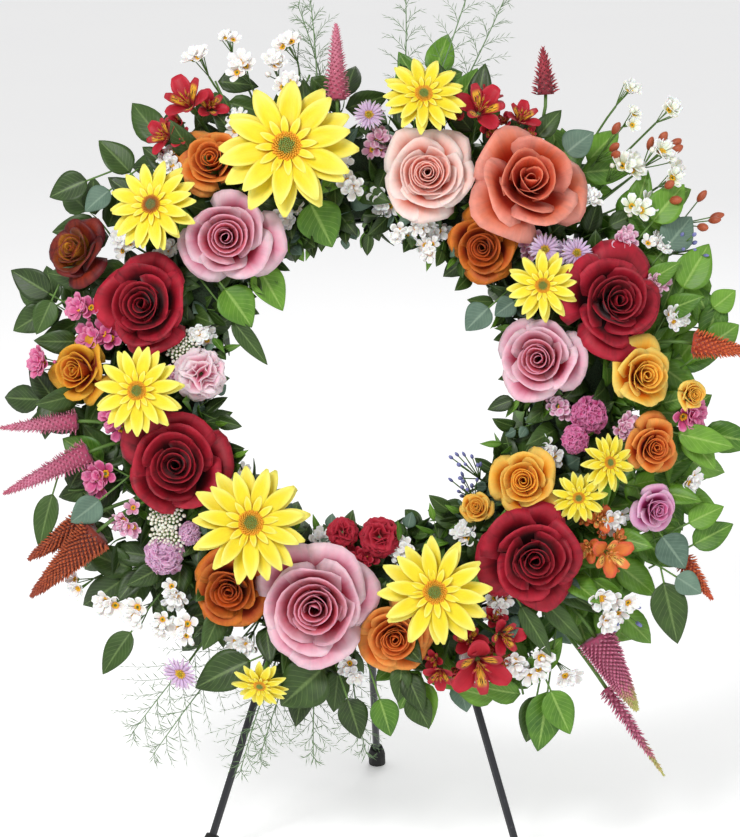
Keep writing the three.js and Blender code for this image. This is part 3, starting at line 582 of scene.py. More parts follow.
# %% Leaf and stem finishes
def leaf_finish(name, dark, light, rib, rough=0.42):
    def build(n):
        across, along, tone = (n.mark(mark) for mark in MARKS[:3])
        off_rib = n.add("ShaderNodeMath", {"operation": "ABSOLUTE"}, {0: across})
        slant = along * 9 - off_rib * 3
        side_veins = n.add("ShaderNodeMath", {"operation": "PINGPONG"}, {0: slant, 1: 0.5}) * 2
        blotch = n.noise(90.0, 3.0)
        skin = n.mix((blotch - 0.5) * 0.8 + tone * 0.5 + 0.2, dark, light)
        veins = side_veins.ramp(0.8, 1.0) * 0.25 * off_rib.ramp(0.95, 0.7)
        skin = n.mix(off_rib.ramp(0.12, 0.02) * 0.45 + veins, skin, rib)
        return {
            "Base Color": skin,
            "Roughness": blotch * 0.25 + (rough - 0.1),
            "Bump": (off_rib.ramp(0.1, 0.0) - side_veins.ramp(0.7, 1.0) * 0.5, 0.3, 0.4 * MM),
        }

    return finish(name, build, Specular_IOR_Level=0.4)


def stem_finish(name, dark, light):
    def build(n):
        along = n.mark("along")
        blotch = n.noise(140.0, 3.0)
        return {
            "Base Color": n.mix(blotch * 0.6 + along * 0.4, dark, light),
            "Roughness": blotch * 0.2 + 0.4,
            "Bump": (blotch, 0.2, 0.3 * MM),
        }

    return finish(name, build)


LEAF = {
    "dark": leaf_finish("leaf_dark", colour("#16240A"), colour("#446424"), colour("#7C9656")),
    "fresh": leaf_finish("leaf_fresh", colour("#2F5A14"), colour("#76A832"), colour("#A9C96C")),
    "grey": leaf_finish("leaf_grey", colour("#3C5648"), colour("#74907C"), colour("#93AA94"), rough=0.55),
}
STEM = stem_finish("stem_green", colour("#3F6127"), colour("#6E9440"))
GREENS = [LEAF["dark"], STEM]
LEAVES = [*LEAF.values(), STEM]

# %% [markdown]
# A rose is a spiral. Each petal stands about 137.5 degrees on from the one inside it, so that no two lie in
# line. The inner petals wrap more than half way round the heart and stand up like a bud; the outer ones are wide
# bowls whose rims roll outwards and pull to a soft point. One function bends every petal from its place in that order.

# %% Rose petals
GOLDEN = math.radians(137.508)
HEART = 0.50  # this share of the petals stays wrapped in the heart
ROSE_PETAL, SEPAL = 0.45 * MM, 0.5 * MM  # thicknesses


def rose(growth, place, size, petals, openness, ruffle, seed):
    """size is the bloom's radius. The face of the rose lies at the place's origin, and it looks along Z."""
    rng = np.random.default_rng(seed)
    order = np.arange(petals)
    f = (order / (petals - 1))[:, None, None]
    turn = (order * GOLDEN + rng.normal(0, 0.24, petals))[:, None, None]
    rows, columns = 13, 11
    v = np.linspace(0, 1, rows)[None, :, None]
    s = np.linspace(-1, 1, columns)[None, None, :]
    lively = rng.normal(0, 1, (4, petals, 1, 1))
    inner = np.clip(f / HEART, 0, 1)
    outer = np.clip((f - HEART) / (1 - HEART), 0, 1)
    rim_r = 0.045 + 0.27 * inner**1.1 + (0.58 * openness) * outer**0.9 + (0.015 + 0.03 * outer) * lively[0] * f
    rim_z = 0.06 + 0.05 * inner - 0.16 * outer - 0.26 * outer**2.2 + 0.03 * lively[1] * (0.4 + f)
    belly_r = np.maximum(0.14, rim_r * (1.28 - 0.46 * f))
    foot_z = -0.80 + 0.05 * f
    half = np.radians(122 - 34 * inner - 34 * outer**0.6 + 4 * lively[2])
    shoulders = (0.22 + 0.20 * outer) * np.abs(s) ** (2.4 + outer)
    point = (0.06 * f + 0.05 * outer) * np.exp(-((s / 0.24) ** 2))
    t = v * (1 - shoulders + point)
    one = 1 - t
    r = 3 * one**2 * t * (0.45 * belly_r) + 3 * one * t**2 * belly_r + t**3 * rim_r + one**3 * 0.05
    z = one**3 * foot_z + 3 * one**2 * t * (foot_z + 0.10) + 3 * one * t**2 * (0.45 * foot_z + 0.55 * rim_z)
    z = z + t**3 * rim_z
    roll = np.clip((v - 0.66) / 0.34, 0, 1) ** 1.7 * np.clip(f * 5, 0.25, 1)
    side_roll = np.abs(s) ** 2.5 * np.clip(f * 1.6, 0, 1) * t**2
    r = r + roll * (0.05 + 0.04 * inner + 0.07 * outer * (1 + 0.5 * lively[3])) + 0.04 * side_roll * (1 - outer)
    z = z - (0.04 + 0.15 * outer) * roll**1.6 - (0.05 + 0.10 * outer) * side_roll
    wave = np.sin(2.6 * s + 5 * lively[3]) + 0.6 * np.sin(5.3 * s + 9 * lively[0])
    r = r + (0.035 * s + 0.018 * ruffle * wave * t**3) * (0.35 + f + outer)
    z = z + (0.016 * ruffle * np.cos(3.1 * s + 4 * lively[2]) + 0.05 * lively[0] * s) * t**3 * (0.3 + 1.3 * outer)
    angle = turn + s * half * (0.62 + 0.38 * np.sin(np.pi * np.clip(t * 0.62, 0, 1)))
    sway = 0.035 * f * rng.normal(0, 1, (2, petals, 1, 1)) * t
    grid = np.stack([r * np.cos(angle) + sway[0], r * np.sin(angle) + sway[1], z + 0 * angle], axis=-1) * size
    local = Growth()
    local.shells(grid, ROSE_PETAL, 0, rng.random(petals), (1 - order / (petals - 1)) ** 1.3)
    sepals(local, size)
    growth.copy(local.flat(), place)


def sepals(growth, size, skin=1, count=5, foot=-0.86, reach=0.5, width=0.13):
    """The green cup under a bloom and its pointed sepals."""
    v = np.linspace(0, 1, 7)[None, :, None]
    s = np.linspace(-1, 1, 5)[None, None, :]
    turn = (np.arange(count) * 2 * np.pi / count)[:, None, None]
    r = (0.05 + reach * v) * size
    wide = width * size * np.sin(np.pi * (0.12 + 0.88 * v)) ** 0.8 + 0.2 * MM
    z = (foot + 0.28 * v**1.5 - 0.06 * (1 - s**2) * v) * size
    x = r * np.cos(turn) - s * wide * np.sin(turn)
    y = r * np.sin(turn) + s * wide * np.cos(turn)
    growth.shells(np.stack([x, y, z + 0 * x], axis=-1), SEPAL, skin, 0.5)
    height = np.linspace(0, 1, 7)
    path = [(0, 0, size * (foot - 0.16 + 0.24 * h)) for h in height]
    growth.tube(path, size * (0.04 + 0.12 * np.sin(np.pi * height * 0.62)), skin, 10)


# %% [markdown]
# Every bloom's stem runs back from its seat into the foam. It leaves the bloom straight, then bends towards
# the middle of the foam's ring. The blooms of one spray share one foot.

# %% Stems into the foam
ROOT_REACH, ROOT_LIFT = 191 * MM, 40 * MM  # the middle line of the foam's ring
ROOT_SLACK = 25 * MM  # how far from that line a stem may go in


def foot_of(seats):
    """The place in the foam where the stem of the largest bloom goes in."""
    clock, reach, _ = wreath_place(seats[0][0])
    return on_wreath(clock, min(max(reach, ROOT_REACH - ROOT_SLACK), ROOT_REACH + ROOT_SLACK), ROOT_LIFT)


def bend(start, end, leave, steps, pull=0.4):
    """Points on a soft bend that leaves its start in one direction and arrives at its end."""
    span = (end - start).length
    middle = start + leave * span * pull
    return [tuple(start * (1 - t) ** 2 + middle * 2 * t * (1 - t) + end * t**2) for t in np.linspace(0, 1, steps)]


def stem(growth, start, way, foot, thick, skin=1):
    """A stem from just under a bloom to its foot in the foam."""
    growth.tube(bend(start, foot, -way, 9, pull=0.45), thick, skin)


def keep(growth, name, finishes, replaced):
    """Makes the piece, lets it ride on the wreath and hides the solids it stands for."""
    piece = growth.object(name, finishes)
    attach(piece, WREATH)
    if replaced:
        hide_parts(*replaced)
    print(f"{name}: {len(piece.data.polygons)} faces")


# %% Grow the roses
# finish, petals, openness, ruffle and slot of each rose by its node
ROSES = {
    "pink_rose_upper_left": ("pink_rose", 22, 1.0, 1.0, "petals_pink"),
    "pink_rose_bottom": ("pink_rose", 25, 1.0, 1.1, "petals_pink"),
    "pink_rose_right": ("pink_rose", 22, 1.0, 1.0, "petals_pink"),
    "red_rose_upper_left": ("red_rose", 21, 1.0, 0.9, "petals_red"),
    "red_rose_lower_left": ("red_rose", 21, 1.05, 0.9, "petals_red"),
    "red_rose_lower_right": ("red_rose", 21, 1.05, 0.9, "petals_red"),
    "red_rose_right": ("red_rose", 22, 1.0, 0.9, "petals_red"),
    "coral_rose_upper_right": ("coral_rose", 16, 1.05, 1.7, "petals_coral"),
    "blush_rose_top": ("blush_rose", 34, 1.0, 1.3, "petals_blush"),
    "orange_rose_inner_right": ("rusty_rose", 26, 1.0, 1.2, "petals_orange"),
    "orange_rose_right": ("orange_rose", 23, 1.0, 1.2, "petals_orange"),
    "orange_rose_upper_left": ("orange_rose", 23, 1.0, 1.2, "petals_orange"),
    "orange_rose_lower_left": ("rusty_rose", 23, 1.0, 1.2, "petals_orange"),
    "orange_rose_bottom": ("orange_rose", 26, 1.0, 1.3, "petals_orange"),
    "apricot_rose_right": ("apricot_rose", 21, 0.84, 1.4, "petals_golden"),
    "golden_rose_right": ("golden_rose", 22, 1.05, 1.4, "petals_golden"),
    "amber_rose_left": ("amber_rose", 20, 1.1, 1.8, "petals_golden"),
    "rust_rose_left": ("rust_rose", 22, 1.05, 1.4, "petals_rust"),
    "lilac_rose_right": ("lilac_rose", 20, 1.0, 1.3, "petals_lilac"),
}
for number, (node, (skin, petals, openness, ruffle, slot)) in enumerate(ROSES.items()):
    seats = bloom_seats(node)
    growth = Growth()
    foot = foot_of(seats)
    for k, (centre, way, size, _) in enumerate(seats):
        place = seat_frame(centre, way, 67 * number + 40 * k)
        rose(growth, place, size, petals, openness, ruffle, 100 + 10 * number + k)
        stem(growth, centre - way * size * 0.95, way, foot, 2.4 * MM)
    keep(growth, node + "_bloom", [PETALS[skin], *GREENS], [node])

# %% [markdown]
# What repeats round an axis grows from one Geometry Nodes tree: the rays and the disc of a gerbera, the spikes, the
# small daisies. It sets out points on a spiral that climbs while its radius closes in, and puts a copy of a
# petal or floret on each. The tree has a named input for each size and one for the seed, and ends with real geometry.

# %% The spiral tree
def new_tree(name, inputs):
    """A Geometry Nodes tree with named inputs. Returns its nodes and the wire of each input."""
    tree = bpy.data.node_groups.new(name, "GeometryNodeTree")
    tree.interface.new_socket("Geometry", in_out="OUTPUT", socket_type="NodeSocketGeometry")
    for label, kind in [("Geometry", "Geometry"), *inputs]:
        tree.interface.new_socket(label, in_out="INPUT", socket_type="NodeSocket" + kind)
    n = Nodes(tree)
    entry = tree.nodes.new("NodeGroupInput")
    return n, {socket.name: Wire(n, socket) for socket in entry.outputs if socket.name}


def end_tree(n, geometry, skin):
    """Realize Instances and Set Material, then the way out."""
    real = n.add("GeometryNodeRealizeInstances", {}, {"Geometry": geometry})
    finished = n.add("GeometryNodeSetMaterial", {}, {"Geometry": real, "Material": skin})
    leave = n.tree.nodes.new("NodeGroupOutput")
    n.tree.links.new(finished.socket, leave.inputs[0])
    return n.tree


def random_value(n, low, high, seed):
    return n.add(
        "FunctionNodeRandomValue", {"data_type": "FLOAT"}, {"Min": low, "Max": high, "Seed": seed}, out="Value"
    )


def place_copies(n, points, piece, turn, size, tone_seed, depth):
    """Puts a copy of an object on each point and marks each with a tone and a depth."""
    info = n.add("GeometryNodeObjectInfo", {"transform_space": "ORIGINAL"}, {"Object": piece}, out="Geometry")
    copies = n.add(
        "GeometryNodeInstanceOnPoints", {}, {"Points": points, "Instance": info, "Rotation": turn, "Scale": size}
    )
    marks = (("tone", random_value(n, 0.0, 1.0, tone_seed)), ("depth", depth))
    for name, value in marks:
        settings = {"data_type": "FLOAT", "domain": "INSTANCE"}
        copies = n.add("GeometryNodeStoreNamedAttribute", settings, {"Geometry": copies, "Name": name, "Value": value})
    return copies


def spiral_tree():
    sizes = ("Turn", "Width", "Fullness", "Length", "Lean low", "Lean high", "Size low", "Size high", "Unevenness")
    n, at = new_tree(
        "spiral",
        [("Piece", "Object"), ("Count", "Int"), *[(s, "Float") for s in sizes], ("Seed", "Int"), ("Skin", "Material")],
    )
    line = n.add("GeometryNodeMeshLine", {}, {"Count": at["Count"]})
    index = n.add("GeometryNodeInputIndex")
    t = index / (at["Count"] - 0.999)
    angle = index * at["Turn"]
    radius = at["Width"] * (1 - t) ** at["Fullness"]
    wobble = random_value(n, -1.0, 1.0, at["Seed"]) * at["Unevenness"]
    place = n.vector(radius * angle.sum("COSINE", angle), radius * angle.sum("SINE", angle), at["Length"] * t)
    points = n.add("GeometryNodeSetPosition", {}, {"Geometry": line, "Position": place})
    lean = at["Lean low"] + (at["Lean high"] - at["Lean low"]) * t + wobble * 0.6
    spin = random_value(n, -1.0, 1.0, at["Seed"] + 7) * at["Unevenness"]
    turn = n.vector(spin * 0.35, lean, angle + spin * 0.5)
    size = (at["Size low"] + (at["Size high"] - at["Size low"]) * t) * (wobble * 0.5 + 1)
    return end_tree(n, place_copies(n, points, at["Piece"], turn, size, at["Seed"] + 3, t), at["Skin"])


SPIRAL = spiral_tree()


# %% Run a tree
def arrays_of(mesh, skin=0):
    """The arrays of a finished mesh, marks included."""
    points = np.empty(len(mesh.vertices) * 3, np.float32)
    mesh.vertices.foreach_get("co", points)
    corners = np.empty(len(mesh.loops), np.int32)
    mesh.loops.foreach_get("vertex_index", corners)
    sides = np.empty(len(mesh.polygons), np.int32)
    mesh.polygons.foreach_get("loop_total", sides)
    marks = np.zeros((len(mesh.vertices), len(MARKS)), np.float32)
    for k, mark in enumerate(MARKS):
        if mark in mesh.attributes:
            column = np.empty(len(mesh.vertices), np.float32)
            mesh.attributes[mark].data.foreach_get("value", column)
            marks[:, k] = column
    return points.reshape(-1, 3).astype(float), corners, sides, np.full(len(sides), skin), marks


def grow(tree, values, host=None, skin=0):
    """Runs a tree on a throwaway object and returns what it made as arrays."""
    seed = bpy.data.objects.new("seed", host or bpy.data.meshes.new("seed"))
    bpy.context.collection.objects.link(seed)
    modifier = seed.modifiers.new("grow", "NODES")
    modifier.node_group = tree
    for item in tree.interface.items_tree:
        if item.item_type == "SOCKET" and item.in_out == "INPUT" and item.name in values:
            modifier[item.identifier] = values[item.name]
    made = bpy.data.meshes.new_from_object(seed.evaluated_get(bpy.context.evaluated_depsgraph_get()))
    arrays = arrays_of(made, skin)
    bpy.data.objects.remove(seed)
    bpy.data.meshes.remove(made)
    return arrays


# %% [markdown]
# The small shapes that the trees repeat: a ray petal with grooves, a floret of the disc, a bract of a spike, round
# petals, leaves. Each is one unit long, stands along Z and shows its upper face along -X.

# %% Blades to repeat
def blade(width, outline, rows=8, columns=5, fold=0.0, droop=0.0, groove=0.0, cup=0.0, stalk=0.0):
    """The grid of a petal or leaf of length 1. outline(t) is its width from 0 to 1 along its length."""
    t = np.linspace(0, 1, rows)[:, None]
    s = np.linspace(-1, 1, columns)[None, :]
    half = width * outline(t)
    z = stalk + (1 - stalk) * t
    x = droop * t**2 - fold * half * np.abs(s) - cup * half * s**2
    x = x - groove * np.cos(2.5 * np.pi * s) * np.sin(np.pi * t)
    return np.stack([x, s * half, z + 0 * x], axis=-1)[None]


def template(name, grids, thickness, tubes=()):
    """An object that a tree repeats. It is removed again before the end."""
    growth = Growth()
    for grid in grids:
        growth.shells(grid, thickness)
    for path, radii, sides in tubes:
        growth.tube(path, radii, 0, sides)
    made = growth.object(name, [])
    for mark in ("tone", "depth"):  # the tree gives each copy its own
        made.data.attributes.remove(made.data.attributes[mark])
    templates.append(made)
    return made


templates = []
ray = lambda t: 0.30 + 0.70 * np.sin(np.pi * np.clip(0.06 + 0.90 * t, 0, 1) ** 1.25) - 0.26 * t**6
ovate = lambda t: np.sin(np.pi * np.clip(t, 0, 1) ** 0.72) ** 0.85 + 0.02
lance = lambda t: np.sin(np.pi * np.clip(t, 0, 1) ** 0.85) ** 1.1 + 0.02
spoon = lambda t: 0.14 + 0.86 * np.sin(np.pi * np.clip(0.1 + 0.82 * t, 0, 1) ** 1.9) ** 0.9
BROAD_RAY = template("broad_ray", [blade(0.19, ray, 12, 7, cup=0.3, droop=0.10, groove=0.010)], 0.010)
RAY = template("ray", [blade(0.165, ray, 10, 7, cup=0.25, droop=0.10, groove=0.010)], 0.012)
THIN_RAY = template("thin_ray", [blade(0.10, ray, 5, 3, cup=0.3, droop=0.08)], 0.02)
DISC_FLORET = template(
    "disc_floret", [], 0, [([(0, 0, -0.4), (0, 0, 0.5), (0, 0, 0.85), (0, 0, 1.0)], [0.30, 0.42, 0.34, 0.12], 5)]
)

# %% [markdown]
# A gerbera has one or two rings of long grooved rays and a short inner ring. The disc is a dome of tiny florets on a
# golden-angle spiral: open and orange at its edge, still closed and green in the eye.

# %% Gerbera finishes
GERBERA = petal_finish(
    "petals_gerbera",
    colour("#E9A514"),
    colour("#F3DA26"),
    colour("#F8EE74"),
    base_to=0.38,
    rim_from=0.7,
    rough=0.5,
    mottle=0.06,
)


def disc_finish(name, edge, middle, eye):
    def build(n):
        depth, tone = n.mark("depth"), n.mark("tone")
        skin = n.mix(depth.ramp(0.05, 0.45), edge, middle)
        skin = n.mix((depth + tone * 0.1).ramp(0.6, 0.8), skin, eye)
        grain = n.noise(600.0, 2.0)
        shade = grain * 0.35 + 0.78
        return {
            "Base Color": n.shaded(skin, shade),
            "Roughness": grain * 0.2 + 0.5,
            "Bump": (grain, 0.3, 0.3 * MM),
        }

    return finish(name, build)


DISC = disc_finish("disc_green_eye", colour("#EDA01C"), colour("#E3A426"), colour("#86A04A"))
DISC_BROWN = disc_finish("disc_brown_ring", colour("#D98F1E"), colour("#B06420"), colour("#7E9058"))
YELLOW_DISC = disc_finish("disc_yellow", colour("#E8B21A"), colour("#F2CC2E"), colour("#C9A51E"))


# %% Gerbera
def cone(piece, count, width, fullness, length, leans, sizes, seed, uneven=0.2, skin=0, turn=GOLDEN):
    """Copies on a spiral over a dome, a spike or a plume. The leans are in degrees from the flower's axis."""
    values = {
        "Piece": piece,
        "Count": count,
        "Turn": turn,
        "Width": width,
        "Fullness": fullness,
        "Length": length,
        "Lean low": math.radians(leans[0]),
        "Lean high": math.radians(leans[1]),
        "Size low": sizes[0],
        "Size high": sizes[1],
        "Unevenness": uneven,
        "Seed": seed,
    }
    return grow(SPIRAL, values, skin=skin)


def whorl(piece, count, radius, lean, size, seed, uneven=0.12, skin=0):
    """A flat ring of copies that all lean by the same angle."""
    turn = 2 * math.pi / count
    made = cone(piece, count, radius, 0.0, 0.0, (lean, lean), (size, size), seed, uneven, skin, turn)
    made[4][:, MARKS.index("depth")] = 0
    return made


def gerbera(growth, place, size, petals, seed, broad):
    """Two rings of long rays, a short inner ring, the disc with its florets, and the green cup."""
    local = Growth()
    at = lambda z, spin=0.0: Matrix.Translation((0, 0, z * size)) @ Matrix.Rotation(spin, 4, "Z")
    piece = BROAD_RAY if broad else RAY
    local.copy(whorl(piece, petals, 0.10 * size, 88, 0.90 * size, seed, 0.12), at(-0.03))
    local.copy(whorl(piece, petals - 2, 0.10 * size, 80, 0.84 * size, seed + 1, 0.16), at(0.01, 0.23))
    local.copy(whorl(RAY, 12, 0.10 * size, 72, 0.36 * size, seed + 2, 0.2), at(0.03, 0.1))
    florets = (0.052 * size, 0.028 * size)
    local.copy(cone(DISC_FLORET, 150, 0.19 * size, 0.55, 0.05 * size, (42, 5), florets, seed + 3, skin=1), at(0.045))
    local.tube([(0, 0, z * size) for z in (-0.06, 0.0, 0.03, 0.055)], np.array([0.14, 0.18, 0.17, 0.08]) * size, 1, 16)
    sepals(local, size, 2, 9, foot=-0.34, reach=0.3, width=0.05)
    growth.copy(local.flat(), place)


GERBERAS = {  # rays in the outer ring, whether they are broad, and the disc's finish
    "gerbera_upper_left_large": (12, True, DISC),
    "gerbera_upper_left": (14, False, DISC_BROWN),
    "gerbera_left": (13, False, DISC),
    "gerbera_lower_left": (13, False, DISC),
    "gerbera_bottom": (12, False, DISC),
    "gerbera_top": (13, False, DISC),
    "gerbera_right": (12, False, DISC),
    "gerberas_far_right": (11, False, DISC),
    "gerbera_bottom_left_small": (11, False, DISC),
}
for number, (node, (petals, broad, disc)) in enumerate(GERBERAS.items()):
    seats = bloom_seats(node)
    growth = Growth()
    foot = foot_of(seats)
    for k, (centre, way, size, _) in enumerate(seats):
        gerbera(growth, seat_frame(centre, way, 31 * number + 17 * k), size, petals, 300 + 10 * number + 4 * k, broad)
        stem(growth, centre - way * size * 0.4, way, foot, 2.2 * MM, skin=2)
    keep(growth, node + "_bloom", [GERBERA, disc, STEM], [node])

# %% [markdown]
# An alstroemeria is a funnel of six tepals. The three outer ones are broad and plain; the upper two inner ones carry a
# yellow patch with dark dashes. Six stamens curve out of the throat.

# %% Alstroemerias
BROAD_TEPAL = template("broad_tepal", [blade(0.30, spoon, 9, 7, cup=0.35, droop=0.42)], 0.016)
SLIM_TEPAL = template("slim_tepal", [blade(0.19, spoon, 9, 5, cup=0.3, droop=0.34)], 0.016)


def streaked_finish(name, body, patch, dash):
    def build(n):
        across, along, tone = (n.mark(mark) for mark in MARKS[:3])
        off = n.add("ShaderNodeMath", {"operation": "ABSOLUTE"}, {0: across})
        inside = along.ramp(0.25, 0.4) * along.ramp(0.85, 0.7) * off.ramp(0.85, 0.6)
        dashes = n.noise(1.0, 1.0, n.vector(across * 6, along * 5, tone * 9))
        skin = n.mix(inside, body, patch)
        skin = n.mix(inside * dashes.ramp(0.52, 0.6), skin, dash)
        return {"Base Color": skin, "Roughness": dashes * 0.15 + 0.45, "Bump": (dashes, 0.2, 0.3 * MM)}

    return finish(name, build, Sheen_Weight=0.1, Subsurface_Weight=0.1, Subsurface_Scale=2 * MM)


ALSTROEMERIA_RED = petal_finish(
    "petals_alstroemeria_red", colour("#7A0A18"), colour("#B01028"), colour("#C02236"), base_to=0.35, rough=0.5
)
ALSTROEMERIA_STREAKED = streaked_finish(
    "petals_alstroemeria_streaked", colour("#A80F24"), colour("#F0B62E"), colour("#3A0508")
)
RUST_TEPAL = petal_finish(
    "petals_alstroemeria_rust", colour("#F2B94A"), colour("#E8823E"), colour("#D85A38"), base_to=0.5, rough=0.5
)
RUST_STREAKED = streaked_finish("petals_rust_streaked", colour("#E0793A"), colour("#F6D268"), colour("#6A1A10"))


def alstroemeria(growth, place, size, seed):
    """Three broad and three slim tepals round a throat, and the six stamens."""
    local = Growth()
    turn = Matrix.Rotation(math.pi / 3, 4, "Z")
    low = Matrix.Translation((0, 0, -0.62 * size))
    local.copy(whorl(BROAD_TEPAL, 3, 0.05 * size, 26, 1.05 * size, seed, 0.10), low)
    local.copy(whorl(SLIM_TEPAL, 3, 0.05 * size, 20, 1.0 * size, seed + 1, 0.10, skin=1), low @ turn)
    for k in range(6):
        angle = k * math.pi / 3 + 0.4
        t = np.linspace(0, 1, 6)
        spread = t * t * 0.26 * size
        path = np.stack([spread * math.cos(angle), spread * math.sin(angle), (t * 0.85 - 0.6) * size], axis=1)
        local.tube(path, np.array([0.7, 0.6, 0.5, 0.5, 1.2, 0.9]) * MM, 1, 4)
    local.tube([(0, 0, z * size) for z in (-1.0, -0.8, -0.62, -0.5)], np.array([0.04, 0.1, 0.11, 0.05]) * size, 2, 8)
    growth.copy(local.flat(), place)


ALSTROEMERIAS = ["alstroemeria_upper_left", "alstroemeria_top", "alstroemeria_bottom", "alstroemeria_right"]
SMALL_SHARES = (0.62, 0.5, 0.45)  # the half-open funnels beside each open one, as shares of its size
for number, node in enumerate(ALSTROEMERIAS):
    seats = bloom_seats(node)
    growth = Growth()
    foot = foot_of(seats)
    for k, (centre, way, size, _) in enumerate(seats):
        alstroemeria(growth, seat_frame(centre, way, 50 * number + 25 * k), size, 500 + 20 * number + 3 * k)
        stem(growth, centre - way * size * 0.95, way, foot, 1.8 * MM, skin=2)
        # three half-open funnels stand beside each open one
        for j, share in enumerate(SMALL_SHARES):
            angle = 2.1 * j + number
            side = seat_frame(centre, way, math.degrees(angle)) @ Matrix.Translation((size * 0.75, 0, -0.45 * size))
            tilt = side @ Matrix.Rotation(math.radians(38), 4, "Y")
            alstroemeria(growth, tilt, size * share, 540 + 20 * number + 3 * k + j)
    rust = node.endswith("right")
    skins = [RUST_TEPAL, RUST_STREAKED, STEM] if rust else [ALSTROEMERIA_RED, ALSTROEMERIA_STREAKED, STEM]
    keep(growth, node + "_blooms", skins, [node])

# %% [markdown]
# Carnations and stocks are cushions of ruffled petals. Each petal fans out from a narrow claw, and its rim carries
# a fast wave and small teeth. Turned by the golden angle and laid lower and lower, they make a full head.

# %% Ruffled heads
RUFFLED_PETAL = 0.35 * MM  # thickness


def ruffled(growth, place, size, petals, seed, teeth=1.0):
    """Fans of ruffled petals, each laid lower than the one inside it."""
    rng = np.random.default_rng(seed)
    order = np.arange(petals)
    f = (order / max(petals - 1, 1))[:, None, None]
    rows, columns = 8, 13
    v = np.linspace(0, 1, rows)[None, :, None]
    s = np.linspace(-1, 1, columns)[None, None, :]
    phase = rng.uniform(0, 6.28, (3, petals, 1, 1))
    turn = (order * GOLDEN + rng.normal(0, 0.2, petals))[:, None, None]
    lean = np.radians(6 + 86 * f**0.8)
    fan = np.radians(58) * (0.35 + 0.65 * v)
    length = 0.9 + 0.14 * np.sin(phase[0])
    reach = length * v * (1 + 0.05 * teeth * np.cos(11 * s + phase[1]) * v**4)
    wave = 0.10 * v**2.2 * (np.sin(5.5 * s + phase[2]) + 0.5 * np.sin(10 * s + phase[0]))
    side = reach * np.sin(s * fan)
    ahead = reach * np.cos(s * fan)
    bend = lean * (0.35 + 0.65 * v)
    out = ahead * np.sin(bend) + wave * np.cos(bend) + 0.03
    up = ahead * np.cos(bend) - wave * np.sin(bend) - 0.82
    x = out * np.cos(turn) - side * np.sin(turn)
    y = out * np.sin(turn) + side * np.cos(turn)
    local = Growth()
    grid = np.stack([x, y, up + 0 * x], axis=-1) * size
    local.shells(grid, RUFFLED_PETAL, 0, rng.random(petals), (1 - order / petals) ** 1.2)
    growth.copy(local.flat(), place)


CARNATION_PINK = petal_finish(
    "petals_carnation_pink", colour("#B81E44"), colour("#E67C9C"), colour("#FBE6EC"), rim_from=0.72, rough=0.65
)
CARNATION_RED = petal_finish(
    "petals_carnation_red", colour("#6E0714"), colour("#A8122A"), colour("#BE2A40"), rim_from=0.8, rough=0.65
)
STOCK_LILAC = petal_finish(
    "petals_stock_lilac", colour("#B7CF8E"), colour("#D79BC4"), colour("#E7BBDA"), base_to=0.3, rough=0.6
)
STOCK_MAGENTA = petal_finish(
    "petals_stock_magenta", colour("#A8366E"), colour("#D0508E"), colour("#E58AB8"), base_to=0.3, rough=0.6
)
HEADS = {  # finish, petals, slot, and whether it is a cluster of florets
    "carnation_left": (CARNATION_PINK, 34, "petals_pink", False),
    "carnation_bottom": (CARNATION_RED, 34, "petals_red", False),
    "stock_lower_left": (STOCK_LILAC, 8, "petals_lilac", True),
    "stock_right": (STOCK_MAGENTA, 8, "petals_magenta", True),
}


STOCK_FLORETS, FLORET_SHARE = 13, 0.42  # how many, and how large against the head


def clustered(growth, place, size, petals, seed):
    """A stock's head: many small ruffled florets over a dome."""
    for k in range(STOCK_FLORETS):
        t = (k + 0.5) / STOCK_FLORETS
        lean, turn = math.acos(1 - 0.85 * t), k * GOLDEN
        way = Vector((math.sin(lean) * math.cos(turn), math.sin(lean) * math.sin(turn), math.cos(lean)))
        at = Matrix.Translation(way * size * 0.72 - Vector((0, 0, size * 0.72)))
        at = place @ at @ way.to_track_quat("Z", "Y").to_matrix().to_4x4()
        ruffled(growth, at, size * FLORET_SHARE, petals, seed + k, teeth=0.4)


for number, (node, (skin, petals, slot, cluster)) in enumerate(HEADS.items()):
    seats = bloom_seats(node)
    growth = Growth()
    foot = foot_of(seats)
    for k, (centre, way, size, _) in enumerate(seats):
        place = seat_frame(centre, way, 40 * k)
        if cluster:
            clustered(growth, place, size * 1.1, petals, 600 + 40 * number + 20 * k)
        else:
            ruffled(growth, place, size, petals, 600 + 40 * number + k)
        cup = [tuple(centre - way * size * d) for d in (1.15, 1.0, 0.7, 0.55)]
        growth.tube(cup, np.array([0.06, 0.2, 0.24, 0.2]) * size, 1, 10)
        stem(growth, centre - way * size * 0.95, way, foot, 2 * MM)
    keep(growth, node + "_head", [skin, STEM], [node])

# %% [markdown]
# The small fillers are waxflowers with five round petals, and asters with many thin rays round a yellow button.
# Wherever the construction has one small cone, the real sprig has a little cluster: open flowers and buds.

